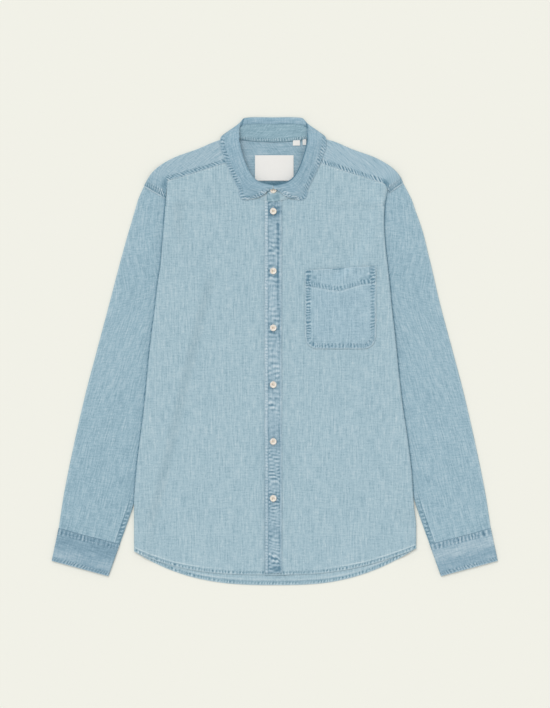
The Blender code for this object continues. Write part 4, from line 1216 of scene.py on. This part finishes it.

# ------------------------------
# The labels inside the neck. Three pieces of white woven tape, left blank: the wide one,
# sewn down along its ends, bows up between them, and two small ones, folded on the shirt but
# drawn here as flat tape, hang from the collar's seam.

LABELS = (("neck_label", -33.5, 32, 333, 289.8), ("size_label", 31, 43, 358.6, 349.5),
          ("care_label", 47.5, 53.5, 360.5, 350.5))
tape, tree, shader = new_material("woven_tape")
place = add(tree, "ShaderNodeUVMap", uv_map="cut")
ribs = add(tree, "ShaderNodeTexWave", {"Vector": place, "Scale": 420, "Distortion": 0.6}, bands_direction="Y")
ribs = ribs.outputs["Fac"]
plug(tree, shader, {
    "Base Color": colours(tree, ribs, (0, (0.80, 0.79, 0.76)), (1, (0.88, 0.87, 0.845))),
    "Normal": add(tree, "ShaderNodeBump", {"Strength": 0.4, "Distance": 0.0002, "Height": ribs}),
    "Roughness": 0.7, "Sheen Weight": 0.15})
for name, left, right, top, bottom in LABELS:
    x, y = np.meshgrid(np.linspace(left, right, 30), np.linspace(top, bottom, 22))
    bow = 0.55 * np.sin(np.pi * (x - left) / (right - left)) if name == "neck_label" else 0.2
    spots = beside(x, y, 2 + bow)
    label = sheet_of_cloth(name + "_tape", spots, beside(x, y), 0 * x, 0.5, tape)
    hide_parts(name)
    wide, tall = (right - left) / 1000, (top - bottom) / 1000

# ------------------------------
# The buttons. Seven small off-white resin buttons with a raised rim and four holes, each
# sewn on with beige thread and fastened through a worked buttonhole.

BUTTON_ROUND, BUTTON_THICK = 5.6, 2.2
BUTTON_PROFILE = ((0, 0), (0.78, 0), (0.93, 0.10), (1, 0.38), (1, 0.72), (0.965, 0.90), (0.90, 0.99),
                  (0.82, 0.98), (0.74, 0.86), (0.68, 0.70), (0.58, 0.62), (0, 0.58))
HOLE_CIRCLE, HOLE_ROUND = 1.7, 0.62
BUTTON_PLACES = [(STAND_HOLE, 6.9, 6)] + [(y, 6.05, 0) for y in HOLES_AT]

resin, tree, shader = new_material("button_resin")
place = add(tree, "ShaderNodeTexCoord").outputs["Object"]
cloud = add(tree, "ShaderNodeTexNoise", {"Vector": place, "Scale": 260, "Detail": 3})
plug(tree, shader, {"Base Color": colours(tree, cloud, (0.3, (0.74, 0.66, 0.56)), (0.7, (0.88, 0.84, 0.77))),
                    "Roughness": 0.34, "Subsurface Weight": 0.15,
                    "Subsurface Radius": (0.002, 0.0015, 0.001)})


def pierced_button():
    """The button's mesh about its own middle, in metres, with its holes cut."""
    shape = bmesh.new()
    ring = [shape.verts.new((BUTTON_ROUND * r / 1000, 0, BUTTON_THICK * z / 1000)) for r, z in BUTTON_PROFILE]
    line = [shape.edges.new(pair) for pair in zip(ring, ring[1:])]
    bmesh.ops.spin(shape, geom=ring + line, cent=(0, 0, 0), axis=(0, 0, 1), angle=2 * math.pi, steps=48)
    bmesh.ops.remove_doubles(shape, verts=shape.verts, dist=1e-6)
    bmesh.ops.recalc_face_normals(shape, faces=shape.faces)
    blank_mesh = bpy.data.meshes.new("button_blank")
    shape.to_mesh(blank_mesh)
    shape.clear()
    for quarter in range(4):
        angle = math.pi / 4 + quarter * math.pi / 2
        spot = (HOLE_CIRCLE * math.cos(angle) / 1000, HOLE_CIRCLE * math.sin(angle) / 1000, 0.001)
        bmesh.ops.create_cone(shape, cap_ends=True, segments=16, radius1=HOLE_ROUND / 1000,
                              radius2=HOLE_ROUND / 1000, depth=0.008, matrix=Matrix.Translation(spot))
    drill_mesh = bpy.data.meshes.new("button_drill")
    shape.to_mesh(drill_mesh)
    shape.free()
    blank, drill = placed("button_blank", blank_mesh), placed("button_drill", drill_mesh)
    cut = blank.modifiers.new("holes", "BOOLEAN")
    cut.solver = "EXACT"
    cut.object = drill
    mesh = bpy.data.meshes.new_from_object(blank.evaluated_get(bpy.context.evaluated_depsgraph_get()))
    for done in (blank, drill):
        bpy.data.objects.remove(done, do_unlink=True)
    return mesh


def strand(path, thick, sides=6):
    """A round thread along a path: its points and its faces."""
    ahead = np.gradient(path, axis=0)
    ahead /= np.linalg.norm(ahead, axis=1)[:, None]
    across = np.cross(ahead, (0.31, 0.17, 0.93))
    across /= np.linalg.norm(across, axis=1)[:, None]
    up = np.cross(ahead, across)
    angles = 2 * np.pi * np.arange(sides) / sides
    ring = np.cos(angles)[None, :, None] * across[:, None] + np.sin(angles)[None, :, None] * up[:, None]
    points = (path[:, None] + ring * thick / 2).reshape(-1, 3)
    faces = []
    for k in range(len(path) - 1):
        for n in range(sides):
            a, b = k * sides + n, k * sides + (n + 1) % sides
            faces.append((a, b, b + sides, a + sides))
    last = (len(path) - 1) * sides
    faces.append(tuple(reversed(range(sides))))
    faces.append(tuple(range(last, last + sides)))
    return points, faces


def plain_piece(name, points, faces, material, smooth_to=40):
    mesh = bpy.data.meshes.new(name)
    mesh.from_pydata(np.asarray(points) / 1000, [], faces)
    return riding(mesh, material, smooth_to)


button_thread = spun_thread("button_thread", (0.50, 0.38, 0.27), (0.72, 0.58, 0.44))
blank = pierced_button()
shape = np.array([vertex.co for vertex in blank.vertices]) * 1000
button_faces = [tuple(p.vertices) for p in blank.polygons]
bpy.data.meshes.remove(blank)
for number, (button_y, button_z, tilt) in enumerate(BUTTON_PLACES, start=1):
    turn = math.radians(12 * math.sin(number * 2.1))
    lean = math.radians(tilt)
    laid = np.array(Matrix.Rotation(lean, 3, "X") @ Matrix.Rotation(turn, 3, "Z")).T
    seat = np.array((CENTRE, button_y, button_z))
    button = plain_piece(f"button_{number}_resin", shape @ laid + seat, button_faces, resin, 32)
    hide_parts(f"button_{number}")
    points, faces = [], []
    reach = HOLE_CIRCLE * math.cos(math.pi / 4)
    for side in (-1, 1):
        for strand_number in (-1, 0, 1):
            x = side * reach + strand_number * 0.27
            bow = 0.22 if strand_number == 0 else 0.1
            half = [(1, 0.1), (1, 1.15), (0.72, 1.5 + bow)]
            path = [(x, -reach * out, z) for out, z in half] + [(x, 0, 1.62 + bow)]
            path += [(x, reach * out, z) for out, z in half[::-1]]
            more, more_faces = strand(np.array(path) @ laid + seat, 0.3)
            faces += [tuple(v + len(points) for v in face) for face in more_faces]
            points += [*more]
    plain_piece(f"button_{number}_thread", points, faces, button_thread)

# ------------------------------
# The table, the light and the camera that looks straight down on the shirt.

table = bpy.data.meshes.new("table")
TABLE_HALF, TABLE_LOW = 4, -0.0004
corners = ((-1, -1), (1, -1), (1, 1), (-1, 1))
table.from_pydata([(x * TABLE_HALF, y * TABLE_HALF, TABLE_LOW) for x, y in corners], [], [(0, 1, 2, 3)])
paper, tree, shader = new_material("cream_paper")
plug(tree, shader, {"Base Color": (0.86, 0.86, 0.79, 1), "Roughness": 0.95, "Specular IOR Level": 0.1})
table.materials.append(paper)
surface = placed("table", table)

world = bpy.data.worlds.new("studio")
world.use_nodes = True
plug(world.node_tree, world.node_tree.nodes["Background"], {"Color": (1, 0.995, 0.985, 1), "Strength": 0.69})
bpy.context.scene.world = world
key = bpy.data.lights.new("key", "SUN")
key.energy = 1.22
key.angle = math.radians(40)
placed("key", key).rotation_euler = (math.radians(-27), math.radians(-15), 0)
bpy.context.scene.view_settings.view_transform = "Standard"

camera = bpy.data.cameras.new("camera")
camera.lens = 130
camera.sensor_width = 36
FRAME_TALL, SHIRT_LEVEL = 1.2036, 0.005
camera_high = FRAME_TALL * camera.lens / camera.sensor_width + SHIRT_LEVEL
eye = placed("camera", camera)
eye.location = (0.0005, -0.0051, camera_high)
camera.clip_end = 50
bpy.context.scene.camera = eye

bpy.context.view_layer.update()
